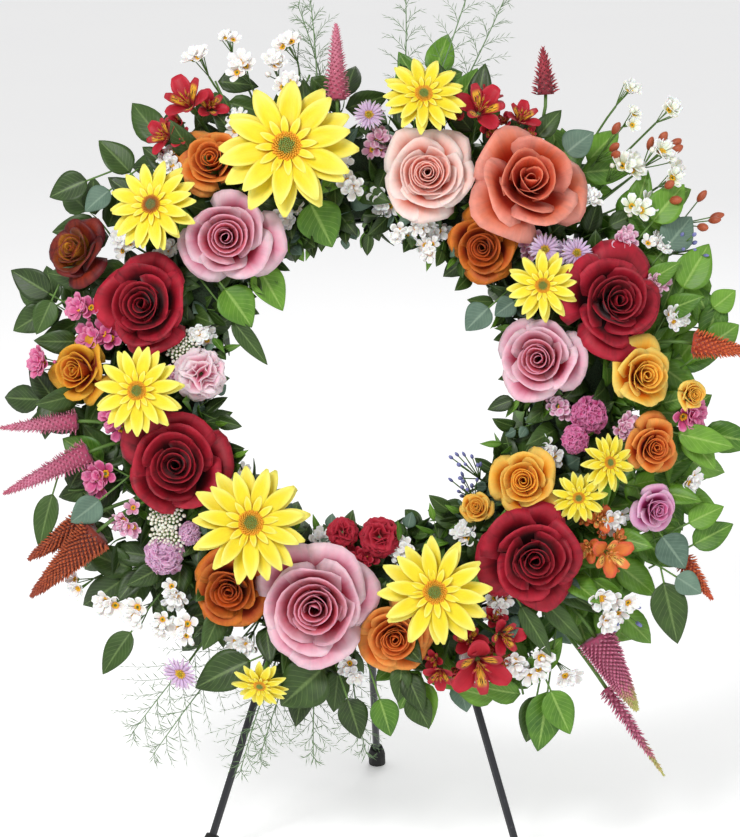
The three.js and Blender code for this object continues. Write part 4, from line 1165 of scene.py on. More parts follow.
# %% Small flowers
WAX_PETAL = template("wax_petal", [blade(0.34, spoon, 5, 5, cup=0.5, droop=-0.12)], 0.03)
BUD = template("bud", [], 0, [([(0, 0, 0), (0, 0, 0.4), (0, 0, 0.8), (0, 0, 1.0)], [0.12, 0.42, 0.36, 0.1], 6)])
LILAC_ASTER = petal_finish(
    "petals_aster_lilac", colour("#C9A2D0"), colour("#DDBBE0"), colour("#EEDCF0"), base_to=0.4, rough=0.6
)
WHITE_WAX = petal_finish(
    "petals_waxflower", colour("#E9B9C4"), colour("#F6F1EC"), colour("#FFFFFF"), base_to=0.42, rough=0.45, mottle=0.06
)
WHITE_GREEN = petal_finish(
    "petals_waxflower_green",
    colour("#C6D68C"),
    colour("#F1F3E0"),
    colour("#FFFFFF"),
    base_to=0.5,
    rough=0.45,
    mottle=0.06,
)
YARROW = petal_finish("petals_yarrow", colour("#DDD9B8"), colour("#F2EFDF"), colour("#FBFAF2"), rough=0.6)


def waxflower(growth, place, size, seed):
    """Five round petals, a ring of stamens and a green cup."""
    under = place @ Matrix.Translation((0, 0, -0.32 * size))
    growth.copy(whorl(WAX_PETAL, 5, 0.06 * size, 62, size, seed, 0.14), place)
    growth.copy(whorl(BUD, 8, 0.16 * size, 12, 0.24 * size, seed + 1, 0.2, skin=1), place)
    growth.copy(whorl(BUD, 3, 0.02 * size, 8, 0.42 * size, seed + 2, 0.2, skin=2), under)


def aster(growth, place, size, seed):
    """Two rings of thin rays, a button of florets and a green cup."""
    under = place @ Matrix.Translation((0, 0, -0.5 * size))
    florets = (0.1 * size, 0.07 * size)
    growth.copy(whorl(THIN_RAY, 21, 0.16 * size, 84, 0.84 * size, seed, 0.14), place)
    growth.copy(whorl(THIN_RAY, 16, 0.16 * size, 74, 0.78 * size, seed + 1, 0.14), place)
    growth.copy(cone(DISC_FLORET, 40, 0.24 * size, 0.55, 0.07 * size, (35, 5), florets, seed + 2, skin=1), place)
    growth.copy(whorl(BUD, 1, 0, 0, 0.6 * size, seed, 0.0, skin=2), under)


def cluster_of(growth, centre, way, size, seed, flowers, buds, foot):
    """A few open flowers and buds round one seat, each on its own thin stalk."""
    rng = np.random.default_rng(seed)
    base = seat_frame(centre, way)
    knot = centre - way * size * 2.2
    for k in range(flowers + buds):
        lean = math.radians(rng.uniform(5, 62)) if k else 0.1
        turn = rng.uniform(0, 2 * math.pi)
        reach = size * rng.uniform(0.75, 1.25) if k else size * 0.5
        aside, sunk = math.sin(lean) * reach, 0.9 * reach * (1 - math.cos(lean))
        spot = base @ Vector((aside * math.cos(turn), aside * math.sin(turn), -sunk))
        look = (way + (spot - centre).normalized() * 0.5 * math.sin(lean)).normalized()
        place = seat_frame(spot, look, rng.uniform(0, 360))
        if k < flowers:
            waxflower(growth, place, 0.9 * size * rng.uniform(0.85, 1.15), seed + 3 * k)
        else:
            growth.copy(whorl(BUD, 1, 0, 0, 6 * MM * rng.uniform(0.7, 1.2), seed + k, skin=0), place)
        growth.tube(bend(spot, knot, -look, 5), 0.55 * MM, 2, 4)
    growth.tube(bend(knot, foot, -way, 8), 1.1 * MM, 2, 5)


# seats that are asters rather than waxflowers, by node and rank in size
ASTERS = {"daisy_spray_upper_right": 2, "waxflower_inner_top": 1, "waxflower_lower_left": 1}
SPRAYS = [
    "waxflower_upper_left",
    "waxflower_upper_right",
    "waxflower_lower_left",
    "waxflower_lower_right",
    "waxflower_inner_top",
    "daisy_spray_upper_right",
]
for number, node in enumerate(SPRAYS):
    seats = bloom_seats(node)
    foot = foot_of(seats)
    asters, waxes = Growth(), Growth()
    for k, (centre, way, size, _) in enumerate(seats):
        seed = 700 + 100 * number + 12 * k
        if k < ASTERS.get(node, 0):
            aster(asters, seat_frame(centre, way, 50 * k), size, seed)
            asters.tube(bend(centre - way * size * 0.4, foot, -way, 8), 1.1 * MM, 2, 5)
        else:
            cluster_of(waxes, centre, way, size, seed, 3, 3, foot)
    white = WHITE_GREEN if node == "waxflower_upper_right" else WHITE_WAX
    replaced = [node]
    if waxes.count:
        keep(waxes, node + "_sprigs", [white, YELLOW_DISC, STEM], replaced)
        replaced = []
    if asters.count:
        keep(asters, node + "_asters", [LILAC_ASTER, YELLOW_DISC, STEM], replaced)

# %% [markdown]
# Veronica, celosia and amaranth are spikes: hundreds of tiny bracts on a golden-angle spiral round an axis that tapers
# to its tip. The solid of a spike is a seven-sided body. Its tip is a corner with seven neighbours on one circle, and
# that circle lies at a known share of the spike's length and width, so the tip tells where the whole spike is.

# %% Spikes and plumes
SPIKE_SIDES, LAST_RING_WIDTH, LAST_RING_DROP = 7, 0.6, 0.18


def spike_seats(node):
    """(base, tip, base radius) of each spike of a node, the largest first."""
    corners, triangles = welded(node)
    found = []
    for number, tip in enumerate(corners):
        around = np.unique(triangles[np.any(triangles == number, axis=1)])
        ring = corners[around[around != number]]
        if len(ring) != SPIKE_SIDES:
            continue
        drop = tip - ring.mean(0)
        spread = np.linalg.norm(ring - ring.mean(0), axis=1)
        depth = np.linalg.norm(drop)
        if spread.std() > 0.01 * spread.mean() or depth < 2 * MM or abs((ring - ring.mean(0)) @ drop).max() > 1e-5:
            continue
        base = tip - drop / LAST_RING_DROP
        found.append((Vector(base), Vector(tip), float(spread.mean()) / LAST_RING_WIDTH))
    return sorted(found, key=lambda seat: -(seat[1] - seat[0]).length)


BRACT = template("bract", [blade(0.30, lance, 4, 3, cup=0.6, droop=0.10)], 0.06)
PLUME_BRACT = template("plume_bract", [blade(0.24, ovate, 4, 3, cup=0.9, droop=-0.10)], 0.08)


def spike_finish(name, low, high, tip):
    def build(n):
        along, tone, depth = n.mark("along"), n.mark("tone"), n.mark("depth")
        skin = n.mix(along.ramp(0.1, 0.9), low, high)
        skin = n.mix((depth + tone * 0.2).ramp(0.7, 1.05), skin, tip)
        return {"Base Color": n.shaded(skin, 1.0 - tone * 0.3), "Roughness": tone * 0.2 + 0.55}

    return finish(name, build, Sheen_Weight=0.2)


SPIKES = {  # bract, how many on a spike of the usual size, bract length in mm; finish, its foot, blade and tip
    "veronica_spike_top": (BRACT, 300, 5.0, ("spike_pink", "#C2506E", "#E58FA6", "#D9708A")),
    "veronica_spikes_left": (BRACT, 300, 5.0, ("spike_rose", "#B8466C", "#E08AA6", "#C65A74")),
    "celosia_spike_top_right": (PLUME_BRACT, 260, 6.0, ("spike_crimson", "#7E1226", "#C23A4A", "#A8283C")),
    "celosia_plumes_left": (PLUME_BRACT, 420, 6.5, ("plume_rust", "#8A2A12", "#C65A22", "#A6401C")),
    "celosia_plumes_right": (PLUME_BRACT, 360, 6.0, ("plume_orange", "#C2401A", "#E8702E", "#D9562A")),
    "amaranth_lower_right": (PLUME_BRACT, 420, 6.0, ("tassel_pink", "#A83C62", "#DC7C9C", "#C8C86E")),
}
USUAL_SPIKE = 90 * MM * 12 * MM  # its length times its radius


def spike(growth, base, tip, radius, piece, count, bract, seed):
    """The bracts of one spike and its core. A larger spike gets more bracts."""
    axis = tip - base
    length = axis.length
    axis.normalize()
    side = axis.orthogonal().normalized()
    turn = Matrix((side, axis.cross(side), axis)).transposed().to_4x4()
    place = Matrix.Translation(base) @ turn
    count = int(count * min(1.4, max(0.4, length * radius / USUAL_SPIKE)))
    made = cone(piece, count, 0.78 * radius, 0.62, 0.97 * length, (72, 20), (bract * MM, 0.62 * bract * MM), seed, 0.3)
    growth.copy(made, place)
    t = np.linspace(0, 1, 9)
    growth.tube([tuple(base + axis * length * x * 0.98) for x in t], radius * 0.8 * (1 - t * 0.97) ** 0.62, 0, 9)


for number, (node, (piece, count, bract, (label, *codes))) in enumerate(SPIKES.items()):
    growth = Growth()
    seats = spike_seats(node)
    skin = spike_finish(label, *map(colour, codes))
    clock = wreath_place(seats[0][0])[0]
    foot = on_wreath(clock, ROOT_REACH + 15 * MM, ROOT_LIFT)
    for k, (base, tip, radius) in enumerate(seats):
        spike(growth, base, tip, radius, piece, count, bract, 900 + 10 * number + k)
        growth.tube(bend(base, foot, (base - tip).normalized(), 9), 1.8 * MM, 1, 6)
    print(node, [(round((tip - base).length / MM), round(radius / MM, 1)) for base, tip, radius in seats])
    keep(growth, node + "_bracts", [skin, STEM], [node])

# %% [markdown]
# Greenery follows a path: a thin stem with leaves at even steps, left and right by turns, and one leaf at its end.
# The sprig tree takes any number of such paths at once. Each path's points carry the direction that the leaves face.

# %% The sprig tree
def sprig_tree():
    sizes = ("Size low", "Size high", "Angle low", "Angle high", "Unevenness")
    n, at = new_tree(
        "sprig",
        [("Leaf", "Object"), ("Count", "Int"), *[(s, "Float") for s in sizes], ("Seed", "Int"), ("Skin", "Material")],
    )
    curve = n.add("GeometryNodeMeshToCurve", {}, {0: at["Geometry"]})
    curve = n.add("GeometryNodeResampleCurve", {}, {"Curve": curve, "Count": at["Count"]})
    factor = n.add("GeometryNodeSplineParameter")
    index = n.add("GeometryNodeInputIndex")
    side = n.add("ShaderNodeMath", {"operation": "MODULO"}, {0: index, 1: 2.0}) * 2 - 1
    facing = n.add("GeometryNodeInputNamedAttribute", {"data_type": "FLOAT_VECTOR"}, {"Name": "facing"})
    tangent = n.add("GeometryNodeInputTangent")
    turn = n.add("FunctionNodeAlignRotationToVector", {"axis": "Z"}, {"Vector": tangent})
    turn = n.add(
        "FunctionNodeAlignRotationToVector", {"axis": "X", "pivot_axis": "Z"}, {"Rotation": turn, "Vector": facing}
    )
    wobble = random_value(n, -1.0, 1.0, at["Seed"]) * at["Unevenness"]
    last = factor.ramp(0.985, 0.995, 1.0, 0.0)
    angle = (at["Angle low"] + (at["Angle high"] - at["Angle low"]) * factor + wobble) * side * last
    tilt = random_value(n, -1.0, 1.0, at["Seed"] + 5) * at["Unevenness"]
    local = n.vector(angle, tilt, tilt * side * 1.4)
    turn = n.add("FunctionNodeRotateRotation", {"rotation_space": "LOCAL"}, {"Rotation": turn, "Rotate By": local})
    size = (at["Size low"] + (at["Size high"] - at["Size low"]) * factor) * (wobble * 0.5 + 1)
    copies = place_copies(n, curve, at["Leaf"], turn, size, at["Seed"] + 9, factor)
    return end_tree(n, copies, at["Skin"])


SPRIG = sprig_tree()


def paths_mesh(paths, facings):
    """Open paths as one mesh of edges. facings: for each path the way its leaves face, away from their backs."""
    points = [p for path in paths for p in path]
    edges, start = [], 0
    for path in paths:
        edges += [(start + k, start + k + 1) for k in range(len(path) - 1)]
        start += len(path)
    mesh = bpy.data.meshes.new("paths")
    mesh.from_pydata(points, edges, [])
    facing = np.concatenate([np.tile(-np.asarray(way), (len(path), 1)) for path, way in zip(paths, facings)])
    kept = mesh.attributes.new("facing", "FLOAT_VECTOR", "POINT")
    kept.data.foreach_set("vector", facing.astype(np.float32).ravel())
    return mesh


def sprigs(growth, paths, facings, leaf, count, sizes, angles, seed, skin=0, uneven=0.18, stem_skin=1, thick=0.9):
    """Leaves along each path, and its stem. The angles are in degrees from the stem, thick is its radius in mm."""
    values = {
        "Leaf": leaf,
        "Count": count,
        "Size low": sizes[0],
        "Size high": sizes[1],
        "Angle low": math.radians(angles[0]),
        "Angle high": math.radians(angles[1]),
        "Unevenness": uneven,
        "Seed": seed,
    }
    growth.copy(grow(SPRIG, values, paths_mesh(paths, facings), skin), Matrix.Identity(4))
    for path in paths:
        growth.tube(path, np.linspace(1.0, 0.4, len(path)) * thick * MM, stem_skin, 5)


OVATE = template("ovate_leaf", [blade(0.27, ovate, 8, 5, fold=0.28, droop=0.16, stalk=0.06)], 0.014)
LANCE = template("lance_leaf", [blade(0.15, lance, 8, 5, fold=0.3, droop=0.2, stalk=0.04)], 0.014)
ROUND = template("round_leaf", [blade(0.36, ovate, 7, 5, fold=0.12, droop=0.08, stalk=0.12)], 0.014)
NEEDLE = template("needle", [blade(0.035, lance, 3, 2, droop=0.1)], 0.03)

# %% Leaf sprigs where the construction has leaf blades
GARLANDS = {
    "garland_upper_left": ("dark", OVATE),
    "garland_upper_right": ("fresh", OVATE),
    "garland_lower_right": ("fresh", OVATE),
    "garland_lower_left": ("dark", OVATE),
}


def curved(base, tip, way, sag, steps=9):
    """A path from base to tip that rises towards the way it faces and droops again."""
    along = tip - base
    side = along.cross(way).normalized()
    path = []
    for t in np.linspace(0, 1, steps):
        rise, swerve = way * sag * math.sin(math.pi * t), side * sag * 0.5 * math.sin(2.2 * t)
        path.append(tuple(base + along * t + rise + swerve))
    return path


SHORT, LONG = 50 * MM, 80 * MM  # blades up to these lengths carry three and five leaves, longer ones seven


def leafy(growth, base, tip, way, seed, leaf):
    """One sprig along a blade of the construction: long ones carry more leaves."""
    span = (tip - base).length
    start = base - (tip - base).normalized() * 12 * MM
    count = 3 if span < SHORT else 5 if span < LONG else 7
    leaf_size = (46 if span < LONG else 52) * MM
    end = tip - (tip - base).normalized() * max(0.3 * span, 0.85 * leaf_size)
    path = curved(start, end, way, 6 * MM)
    sprigs(growth, [path], [way], leaf, count, (leaf_size * 0.85, leaf_size), (58, 42), seed, thick=1.1)


FROND = 110 * MM  # at the lower left the blades from this length on are the hanging fern's, which comes later
for number, (node, (skin, leaf)) in enumerate(GARLANDS.items()):
    growth = Growth()
    for k, (base, tip, way) in enumerate(leaf_seats(node)):
        if (tip - base).length > FROND and "lower_left" in node:
            continue
        leafy(growth, base, tip, way, 1000 + 50 * number + k, leaf)
    keep(growth, node + "_leaves", [LEAF[skin], STEM], [node])

# %% [markdown]
# The foam of the ring is hidden under short leaves that are pushed in all round it. Points are scattered over the
# foam's own surface, and on each stands a leaf that leans away from it.

# %% Leaves that cover the foam
def cover_tree():
    inputs = {"Leaf": "Object", "Density": "Float", "Size": "Float", "Front": "Vector", "Least": "Float", "Seed": "Int"}
    n, at = new_tree("cover", [*inputs.items(), ("Skin", "Material")])
    normal = n.add("GeometryNodeInputNormal")
    ahead = n.add("ShaderNodeVectorMath", {"operation": "DOT_PRODUCT"}, {0: normal, 1: at["Front"]}, out="Value")
    scatter = n.tree.nodes.new("GeometryNodeDistributePointsOnFaces")
    wires = {
        "Mesh": at["Geometry"],
        "Selection": ahead > at["Least"],
        "Density": at["Density"],
        "Seed": at["Seed"],
    }
    for name, wire in wires.items():
        n.tree.links.new(wire.socket, scatter.inputs[name])
    points, rotation = Wire(n, scatter.outputs["Points"]), Wire(n, scatter.outputs["Rotation"])
    lean = random_value(n, 0.5, 1.25, at["Seed"] + 1)
    spin = random_value(n, 0.0, 6.283, at["Seed"] + 2)
    local = n.vector(0.0, lean, spin)
    turn = n.add("FunctionNodeRotateRotation", {"rotation_space": "LOCAL"}, {"Rotation": rotation, "Rotate By": local})
    size = at["Size"] * random_value(n, 0.75, 1.2, at["Seed"] + 3)
    return end_tree(n, place_copies(n, points, at["Leaf"], turn, size, at["Seed"] + 4, 0.0), at["Skin"])


COVER = cover_tree()


def foam_copy():
    corners, triangles = welded("foam_ring")
    mesh = bpy.data.meshes.new("foam_copy")
    mesh.from_pydata(corners.tolist(), [], triangles.tolist())
    return mesh


COVER_LEAF = template("cover_leaf", [blade(0.27, ovate, 6, 3, fold=0.3, droop=0.2, stalk=0.05)], 0.016)
COVER_ROUND = template("cover_round", [blade(0.36, ovate, 6, 3, fold=0.15, droop=0.1, stalk=0.1)], 0.016)
cover = Growth()
for leaf, skin, density, size, seed in (
    (COVER_LEAF, 0, 3400, 0.034, 11),
    (COVER_ROUND, 2, 500, 0.026, 12),
    (COVER_LEAF, 1, 700, 0.030, 13),
):
    values = {"Leaf": leaf, "Density": density, "Size": size, "Front": tuple(FRONT), "Least": -0.3, "Seed": seed}
    cover.copy(grow(COVER, values, foam_copy(), skin), Matrix.Identity(4))
keep(cover, "foam_cover_leaves", [*LEAF.values()], [])

# %% [markdown]
# Round the outer edge the florist pushes in sprigs close together, all pointing outwards: dark ones on the left and
# below, bright ones on the right, grey eucalyptus at the lower right. Smaller ones soften the inner edge.

# %% Sprigs round both edges
rng = np.random.default_rng(77)
EDGE = [  # from clock, to clock, step, leaf, finish, farthest reach in mm, leaf length in mm
    (282, 346, 5.0, OVATE, 0, 296, 42),
    (346, 378, 5.0, LANCE, 0, 300, 36),
    (378, 425, 5.0, OVATE, 0, 304, 36),
    (425, 495, 4.5, OVATE, 1, 316, 40),
    (495, 520, 4.0, ROUND, 2, 306, 30),
    (520, 575, 4.5, OVATE, 0, 294, 40),
    (575, 642, 5.0, OVATE, 0, 298, 40),
]
edge = Growth()
for number, (start, stop, step, leaf, skin, far, length) in enumerate(EDGE):
    paths, facings = [], []
    leaf_lengths = (length * 0.9 * MM, length * MM)
    for clock in np.arange(start, stop, step):
        clock += rng.uniform(-2, 2)
        reach = far * rng.uniform(0.86, 1.0)
        low = on_wreath(clock, 208 * MM, rng.uniform(26, 52) * MM)
        high = on_wreath(clock + rng.uniform(-5, 5), reach * MM - 0.7 * length * MM, rng.uniform(30, 76) * MM)
        way = FRONT + (high - low).normalized() * 0.2
        way = way + RIGHT * rng.uniform(-0.4, 0.4) + ALONG * rng.uniform(-0.4, 0.4)
        paths.append(curved(low, high, FRONT, 5 * MM))
        facings.append(way.normalized())
    sprigs(edge, paths, facings, leaf, 4, leaf_lengths, (58, 40), 1300 + number, skin, 0.3, 3, 1.0)
keep(edge, "outer_edge_sprigs", LEAVES, [])

inner_edge = Growth()
INNER_EDGE = [  # leaf, finish, leaf length in mm, step and first clock in degrees
    (OVATE, 0, 24, 9, 0),
    (LANCE, 1, 22, 17, 4),
    (ROUND, 2, 16, 23, 9),
]
for number, (leaf, skin, length, step, shift) in enumerate(INNER_EDGE):
    paths, facings = [], []
    leaf_lengths = (length * 0.9 * MM, length * MM)
    for clock in np.arange(shift, 360, step):
        clock += rng.uniform(-3, 3)
        low = on_wreath(clock, 168 * MM, rng.uniform(30, 62) * MM)
        high = on_wreath(clock + rng.uniform(-7, 7), rng.uniform(137, 150) * MM, rng.uniform(45, 84) * MM)
        paths.append(curved(low, high, FRONT, 3 * MM))
        facings.append((FRONT + RIGHT * rng.uniform(-0.5, 0.5) + ALONG * rng.uniform(-0.5, 0.5)).normalized())
    sprigs(inner_edge, paths, facings, leaf, 4, leaf_lengths, (60, 40), 1400 + number, skin, 0.35, 3, 0.8)
keep(inner_edge, "inner_edge_sprigs", LEAVES, [])

# %% [markdown]
# A few leaves are much larger than the rest and stand out on their own: dark rose leaves on the left and below, bright
# ones on the right, blue-grey eucalyptus, and broad pale ones over the inner edge. Each is one blade with its stalk.

# %% Large single leaves
LARGE = [  # clock and reach of the stalk, clock and reach of the tip, lift (mm), half width against length, finish
    (311, 288, 312, 334, 66, 0.30, 0), (306, 318, 300, 342, 60, 0.34, 0), (307, 296, 301, 306, 68, 0.36, 2),
    (285, 300, 287, 346, 62, 0.30, 0), (283, 300, 278, 332, 56, 0.32, 0), (285, 300, 278, 308, 68, 0.30, 0),
    (251, 304, 243, 340, 62, 0.20, 0), (252, 250, 259, 286, 64, 0.34, 1), (246, 262, 244, 298, 82, 0.36, 2),
    (223, 310, 222, 362, 62, 0.24, 0), (201, 270, 209, 318, 74, 0.30, 0), (187, 258, 194, 304, 78, 0.40, 0),
    (183, 284, 180, 324, 70, 0.32, 0), (177, 284, 175, 322, 72, 0.34, 1), (171, 284, 169, 320, 66, 0.34, 0),
    (148, 322, 154, 372, 60, 0.28, 1), (148, 322, 149, 370, 66, 0.30, 1), (150, 322, 155, 360, 56, 0.28, 0),
    (122, 322, 129, 370, 64, 0.26, 0), (116, 300, 119, 336, 72, 0.40, 2), (121, 330, 121, 360, 68, 0.38, 2),
    (116, 330, 110, 358, 62, 0.28, 1), (113, 318, 108, 344, 68, 0.30, 1), (98, 282, 99, 340, 74, 0.22, 1),
    (60, 296, 57, 342, 76, 0.32, 1), (65, 298, 62, 334, 68, 0.40, 2), (73, 298, 67, 338, 70, 0.32, 1),
    (77, 322, 75, 348, 62, 0.40, 1), (83, 314, 80, 344, 62, 0.40, 1), (40, 276, 41, 310, 72, 0.42, 2),
    (57, 136, 60, 104, 76, 0.42, 2), (60, 158, 61, 134, 80, 0.42, 2), (342, 178, 346, 130, 84, 0.42, 1),
    (304, 160, 297, 116, 86, 0.38, 1), (317, 152, 312, 102, 78, 0.30, 1), (296, 140, 281, 92, 84, 0.15, 0),
    (144, 240, 145, 300, 82, 0.15, 0), (140, 246, 139, 308, 76, 0.15, 0), (137, 240, 133, 300, 78, 0.15, 0),
]


def large_leaf(growth, base, tip, way, width, skin, tone):
    """One broad blade from base to tip, with a stalk that runs back under the flowers."""
    length = (tip - base).length
    ahead = (tip - base).normalized()
    side = ahead.cross(-way).normalized()
    local = Growth()
    local.shells(blade(width, ovate, 14, 9, fold=0.26, droop=0.16, stalk=0.10) * length, 0.5 * MM, skin, tone)
    local.tube([(0, 0, length * t) for t in np.linspace(-0.9, 0.12, 5)], 0.9 * MM, 3, 6)
    place = Matrix((side.cross(ahead), side, ahead)).transposed().to_4x4()
    growth.copy(local.flat(), Matrix.Translation(base) @ place)


large = Growth()
for clock, reach, tip_clock, tip_reach, lift, width, skin in LARGE:
    base, tip = on_wreath(clock, reach * MM, lift * MM), on_wreath(tip_clock, tip_reach * MM, (lift + 4) * MM)
    way = (FRONT + RIGHT * rng.uniform(-0.35, 0.35) + ALONG * rng.uniform(-0.1, 0.4)).normalized()
    large_leaf(large, base, tip, way, width, skin, rng.random())
keep(large, "large_leaves", LEAVES, [])

# %% [markdown]
# Asparagus fern hangs below at the left: a fine stem, side branches at even steps, and on each branch a row
# of needles. The branches are laid out as paths and the sprig tree puts the needles on all of them at once.

# %% Fern fronds
def fern(paths, facings, clock, reach, far, lift, swing, branches, spread):
    """Adds the paths of one frond that hangs from the ring's edge outwards to reach far. Returns its stem."""
    low, high = on_wreath(clock, reach * MM, lift * MM), on_wreath(clock + swing, far * MM, (lift - 22) * MM)
    spine = [Vector(p) for p in curved(low, high, FRONT, 10 * MM, 15)]
    ahead = (high - low).normalized()
    side = ahead.cross(FRONT).normalized()
    for k in range(branches):
        t = 0.22 + 0.76 * k / (branches - 1)
        place = t * (len(spine) - 1)
        start = spine[int(place)].lerp(spine[min(int(place) + 1, len(spine) - 1)], place % 1)
        length = (high - low).length * spread * math.sin(math.pi * (0.15 + 0.8 * t)) * rng.uniform(0.7, 1.15)
        way = (ahead * 0.75 + side * (0.8 if k % 2 else -0.8) + FRONT * rng.uniform(-0.35, 0.35)).normalized()
        paths.append(curved(start, start + way * length, ahead, 3 * MM, 6))
        facings.append(FRONT)
    return [tuple(p) for p in spine]


FERN = stem_finish("fern_green", colour("#4E6C46"), colour("#7F9C6C"))
SPINE_RADII = np.linspace(1.1, 0.4, 15) * MM
HANGING = [  # clock, reach, farthest reach and lift in mm, swing of the tip in degrees
    (203, 222, 402, 40, 6),
    (197, 224, 380, 46, 0),
    (209, 222, 396, 34, 4),
    (190, 222, 352, 44, -3),
    (184, 222, 344, 36, -5),
    (193, 222, 366, 34, 2),
]
STANDING = [
    (10, 225, 390, 56, 3),
    (7, 225, 366, 48, -3),
    (14, 225, 386, 40, 4),
    (348, 228, 372, 46, 2),
    (352, 228, 360, 40, -4),
]
ferns = Growth()
paths, facings = [], []
for row in HANGING:
    ferns.tube(fern(paths, facings, *row, 15, 0.3), SPINE_RADII, 0, 5)
sprigs(ferns, paths, facings, NEEDLE, 13, (11 * MM, 6 * MM), (42, 30), 1500, 0, 0.5, 0, 0.35)
keep(ferns, "fern_fronds", [FERN], [])

tops = Growth()
paths, facings = [], []
for row in STANDING:
    tops.tube(fern(paths, facings, *row, 13, 0.2), SPINE_RADII, 0, 5)
sprigs(tops, paths, facings, NEEDLE, 11, (10 * MM, 6 * MM), (36, 26), 1501, 0, 0.4, 0, 0.35)
keep(tops, "top_fern_fronds", [FERN], [])

# %% [markdown]
# The gaps between the big blooms are stuffed with loose small flowers: white, lilac and pink clusters that
# stand a little lower than the roses, so the ring reads as full from every side.

# %% Filler clusters in the gaps
FILLERS = [  # clock, reach and lift in mm, kind
    (334, 168, 78, "white"), (4, 168, 74, "white"), (22, 156, 72, "white"), (56, 218, 92, "aster"),
    (47, 196, 86, "pink"), (96, 176, 78, "pink"), (110, 176, 78, "white"), (128, 182, 80, "aster"),
    (146, 168, 76, "white"), (166, 152, 76, "white"), (180, 160, 78, "red"), (196, 150, 70, "white"),
    (236, 148, 72, "white"), (231, 232, 82, "yarrow"), (236, 218, 84, "yarrow"), (281, 172, 86, "yarrow"),
    (286, 160, 82, "white"), (262, 232, 78, "magenta"), (279, 254, 78, "magenta"), (303, 220, 72, "white"),
    (333, 268, 78, "white"), (352, 206, 78, "white"), (2, 222, 76, "pink"), (70, 284, 70, "pink"),
    (64, 296, 70, "white"), (77, 292, 72, "white"), (94, 296, 72, "magenta"), (99, 238, 88, "pink"),
    (106, 308, 66, "white"), (118, 256, 78, "white"), (148, 236, 80, "white"), (182, 262, 70, "white"),
    (204, 262, 72, "white"), (222, 262, 76, "white"), (240, 254, 76, "pink"), (250, 262, 70, "magenta"),
    (300, 262, 70, "white"), (318, 276, 72, "white"), (49, 262, 84, "white"), (60, 272, 78, "pink"),
    (272, 182, 90, "pink"), (158, 262, 74, "white"), (51, 342, 66, "berry"), (62, 344, 62, "berry"),
    (45, 312, 70, "berry"), (56, 322, 70, "berry"), (129, 120, 76, "blue"), (131, 316, 70, "blue"),
    (66, 324, 66, "blue"), (136, 130, 72, "blue"), (284, 268, 84, "magenta"), (273, 298, 72, "magenta"),
]
PINK_WAX = petal_finish("petals_filler_pink", colour("#C85A86"), colour("#E6A0C0"), colour("#F4CFDF"), base_to=0.5)
MAGENTA_WAX = petal_finish(
    "petals_filler_magenta", colour("#A8285E"), colour("#D65A90"), colour("#E88CB2"), base_to=0.5
)
RED_WAX = petal_finish("petals_filler_red", colour("#5A0612"), colour("#A01228"), colour("#B82A40"), base_to=0.5)
BERRY = stem_finish("berry_russet", colour("#6E2412"), colour("#C06038"))
BLUE_BUD = stem_finish("bud_blue", colour("#3C4078"), colour("#8C90C8"))


def berries(growth, centre, way, length, seed, foot, count):
    """Oval berries or buds on thin stalks that fork from one stem."""
    rng = np.random.default_rng(seed)
    knot = centre - way * 26 * MM
    t = np.linspace(0, 1, 8)
    for _ in range(count):
        spot = centre + Vector(rng.uniform(-13, 13, 3)) * MM
        look = (spot - knot).normalized()
        wide = length * rng.uniform(0.24, 0.34)
        radii = wide * np.sin(np.pi * (0.06 + 0.9 * t)) ** 0.6
        growth.tube([tuple(spot + look * length * d) for d in t], radii, 0, 10, rng.random())
        growth.tube(bend(spot, knot, -look, 5), 0.6 * MM, 2, 4)
    growth.tube(bend(knot, foot, -way, 8), 1.1 * MM, 2, 5)


KINDS = {  # finish, slot, and size in mm: a flower's, a head's or a berry's
    "white": (WHITE_WAX, "petals_white", 11),
    "pink": (PINK_WAX, "petals_pink", 11),
    "magenta": (MAGENTA_WAX, "petals_magenta", 15),
    "red": (RED_WAX, "petals_red", 12),
    "yarrow": (YARROW, "petals_white", 15),
    "aster": (LILAC_ASTER, "petals_lilac", 13),
    "berry": (BERRY, "petals_rust", 13),
    "blue": (BLUE_BUD, "petals_lilac", 6),
}
BERRY_COUNTS = {"berry": 4, "blue": 9}
for kind, (skin, slot, size) in KINDS.items():
    growth = Growth()
    for number, (clock, reach, lift, one) in enumerate(FILLERS):
        if one != kind:
            continue
        centre = on_wreath(clock, reach * MM, lift * MM)
        outward = (on_wreath(clock, 240 * MM, 0) - on_wreath(clock, 200 * MM, 0)).normalized()
        way = (FRONT + outward * (reach - 200) / 110).normalized()
        foot = on_wreath(clock, min(max(reach, 170), 215) * MM, ROOT_LIFT)
        seed = 1600 + 10 * number
        if kind == "aster":
            aster(growth, seat_frame(centre, way, 33 * number), size * MM, seed)
            growth.tube(bend(centre - way * 5 * MM, foot, -way, 8), 1.1 * MM, 2, 5)
        elif kind in BERRY_COUNTS:
            berries(growth, centre, way, size * MM, seed, foot, BERRY_COUNTS[kind])
        elif kind == "yarrow":
            button = cone(BUD, 70, size * MM, 0.55, 5 * MM, (40, 4), (4.2 * MM, 3.4 * MM), seed, 0.3)
            growth.copy(button, seat_frame(centre, way))
            growth.tube([tuple(centre + way * d * MM) for d in (-14, -6, 0, 3)], np.array([1.2, 8, 14, 6]) * MM, 2, 12)
        else:
            cluster_of(growth, centre, way, size * MM, seed, 5, 3, foot)
    keep(growth, "filler_" + kind, [skin, YELLOW_DISC, STEM], [])

# %% [markdown]
# The holder stays as it was built, and only gets its finishes: open-celled wet foam, a green plastic tray with a
# fine moulded grain, black satin paint on round steel rod with a few scuffs, and soft rubber tips.

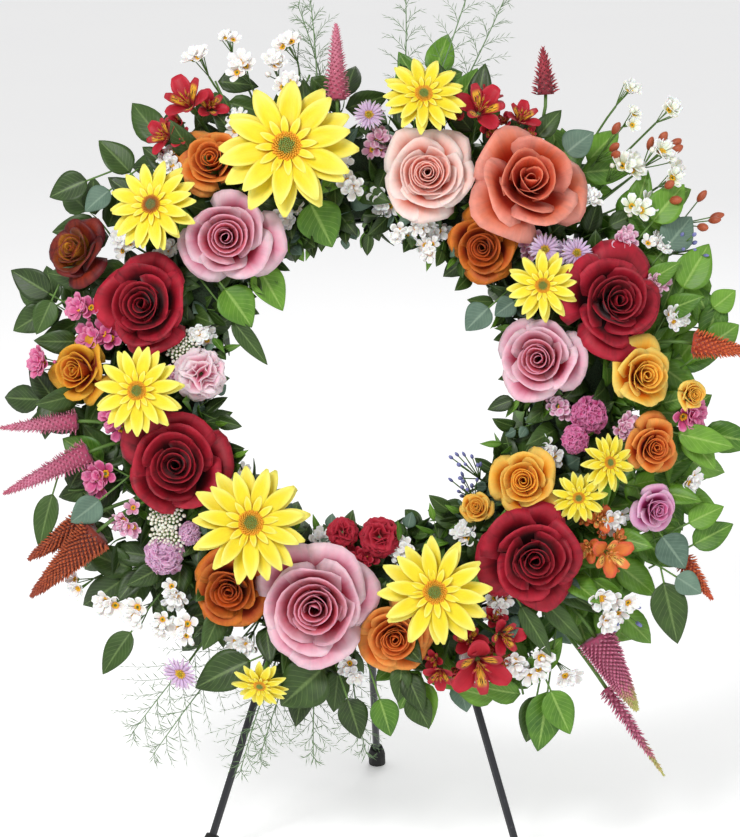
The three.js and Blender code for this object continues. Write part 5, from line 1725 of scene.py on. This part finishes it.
# %% Finishes of the holder
def foam_finish(n):
    cells = n.add("ShaderNodeTexVoronoi", {}, {"Vector": n.add("ShaderNodeTexCoord", out=3), "Scale": 700.0})
    cloud = n.noise(30.0, 3.0)
    return {
        # the foam is very dark: partly the wet, mossy foam's own deep green, partly painted shade for the gaps between
        # the flowers
        "Base Color": n.mix(cells.ramp(0.1, 0.7) * 0.6 + cloud * 0.4, colour("#10190F"), colour("#2E4426")),
        "Roughness": cloud * 0.2 + 0.75,
        "Bump": (cells, 0.6, 0.8 * MM),
    }


def tray_finish(n):
    grain, cloud = n.noise(900.0, 2.0), n.noise(14.0, 2.0)
    return {
        "Base Color": n.mix(cloud, colour("#173420"), colour("#214529")),
        "Roughness": grain * 0.15 + 0.38,
        "Bump": (grain, 0.12, 0.15 * MM),
    }


def steel_finish(n):
    peel, scuff, cloud = n.noise(420.0, 2.0), n.noise(60.0, 6.0, roughness=0.7), n.noise(9.0, 2.0)
    worn = scuff.ramp(0.66, 0.72)
    return {
        "Base Color": n.mix(worn * 0.5, n.mix(cloud, colour("#1A1B1F"), colour("#292A2F")), colour("#5A5C60")),
        "Roughness": peel * 0.12 + 0.28 + worn * 0.15,
        "Bump": (peel, 0.1, 0.1 * MM),
    }


def rubber_finish(n):
    grain, dust = n.noise(700.0, 2.0), n.noise(25.0, 4.0)
    return {
        "Base Color": n.mix(dust.ramp(0.4, 0.8), colour("#121212"), colour("#2C2B29")),
        "Roughness": grain * 0.15 + 0.68,
        "Bump": (grain, 0.2, 0.2 * MM),
    }


HOLDER = {
    "foam_ring": finish("wet_floral_foam", foam_finish),
    "foam_tray": finish("moulded_tray_plastic", tray_finish),
    "wreath_hoop": finish("black_satin_paint", steel_finish, Specular_IOR_Level=0.5),
    "foot_tip_left": finish("soft_rubber", rubber_finish),
}
HOLDER["front_frame"] = HOLDER["rear_leg"] = HOLDER["wreath_hoop"]
HOLDER["foot_tip_right"] = HOLDER["foot_tip_rear"] = HOLDER["foot_tip_left"]
for node, material in HOLDER.items():
    for slot in nodes[node].material_slots:
        slot.material = material

# %% [markdown]
# The sizes are written down before the end, so that the grown wreath can be held against the construction.

# %% Remove the repeated shapes and finish
for one in templates:
    bpy.data.objects.remove(one)
bpy.context.view_layer.update()
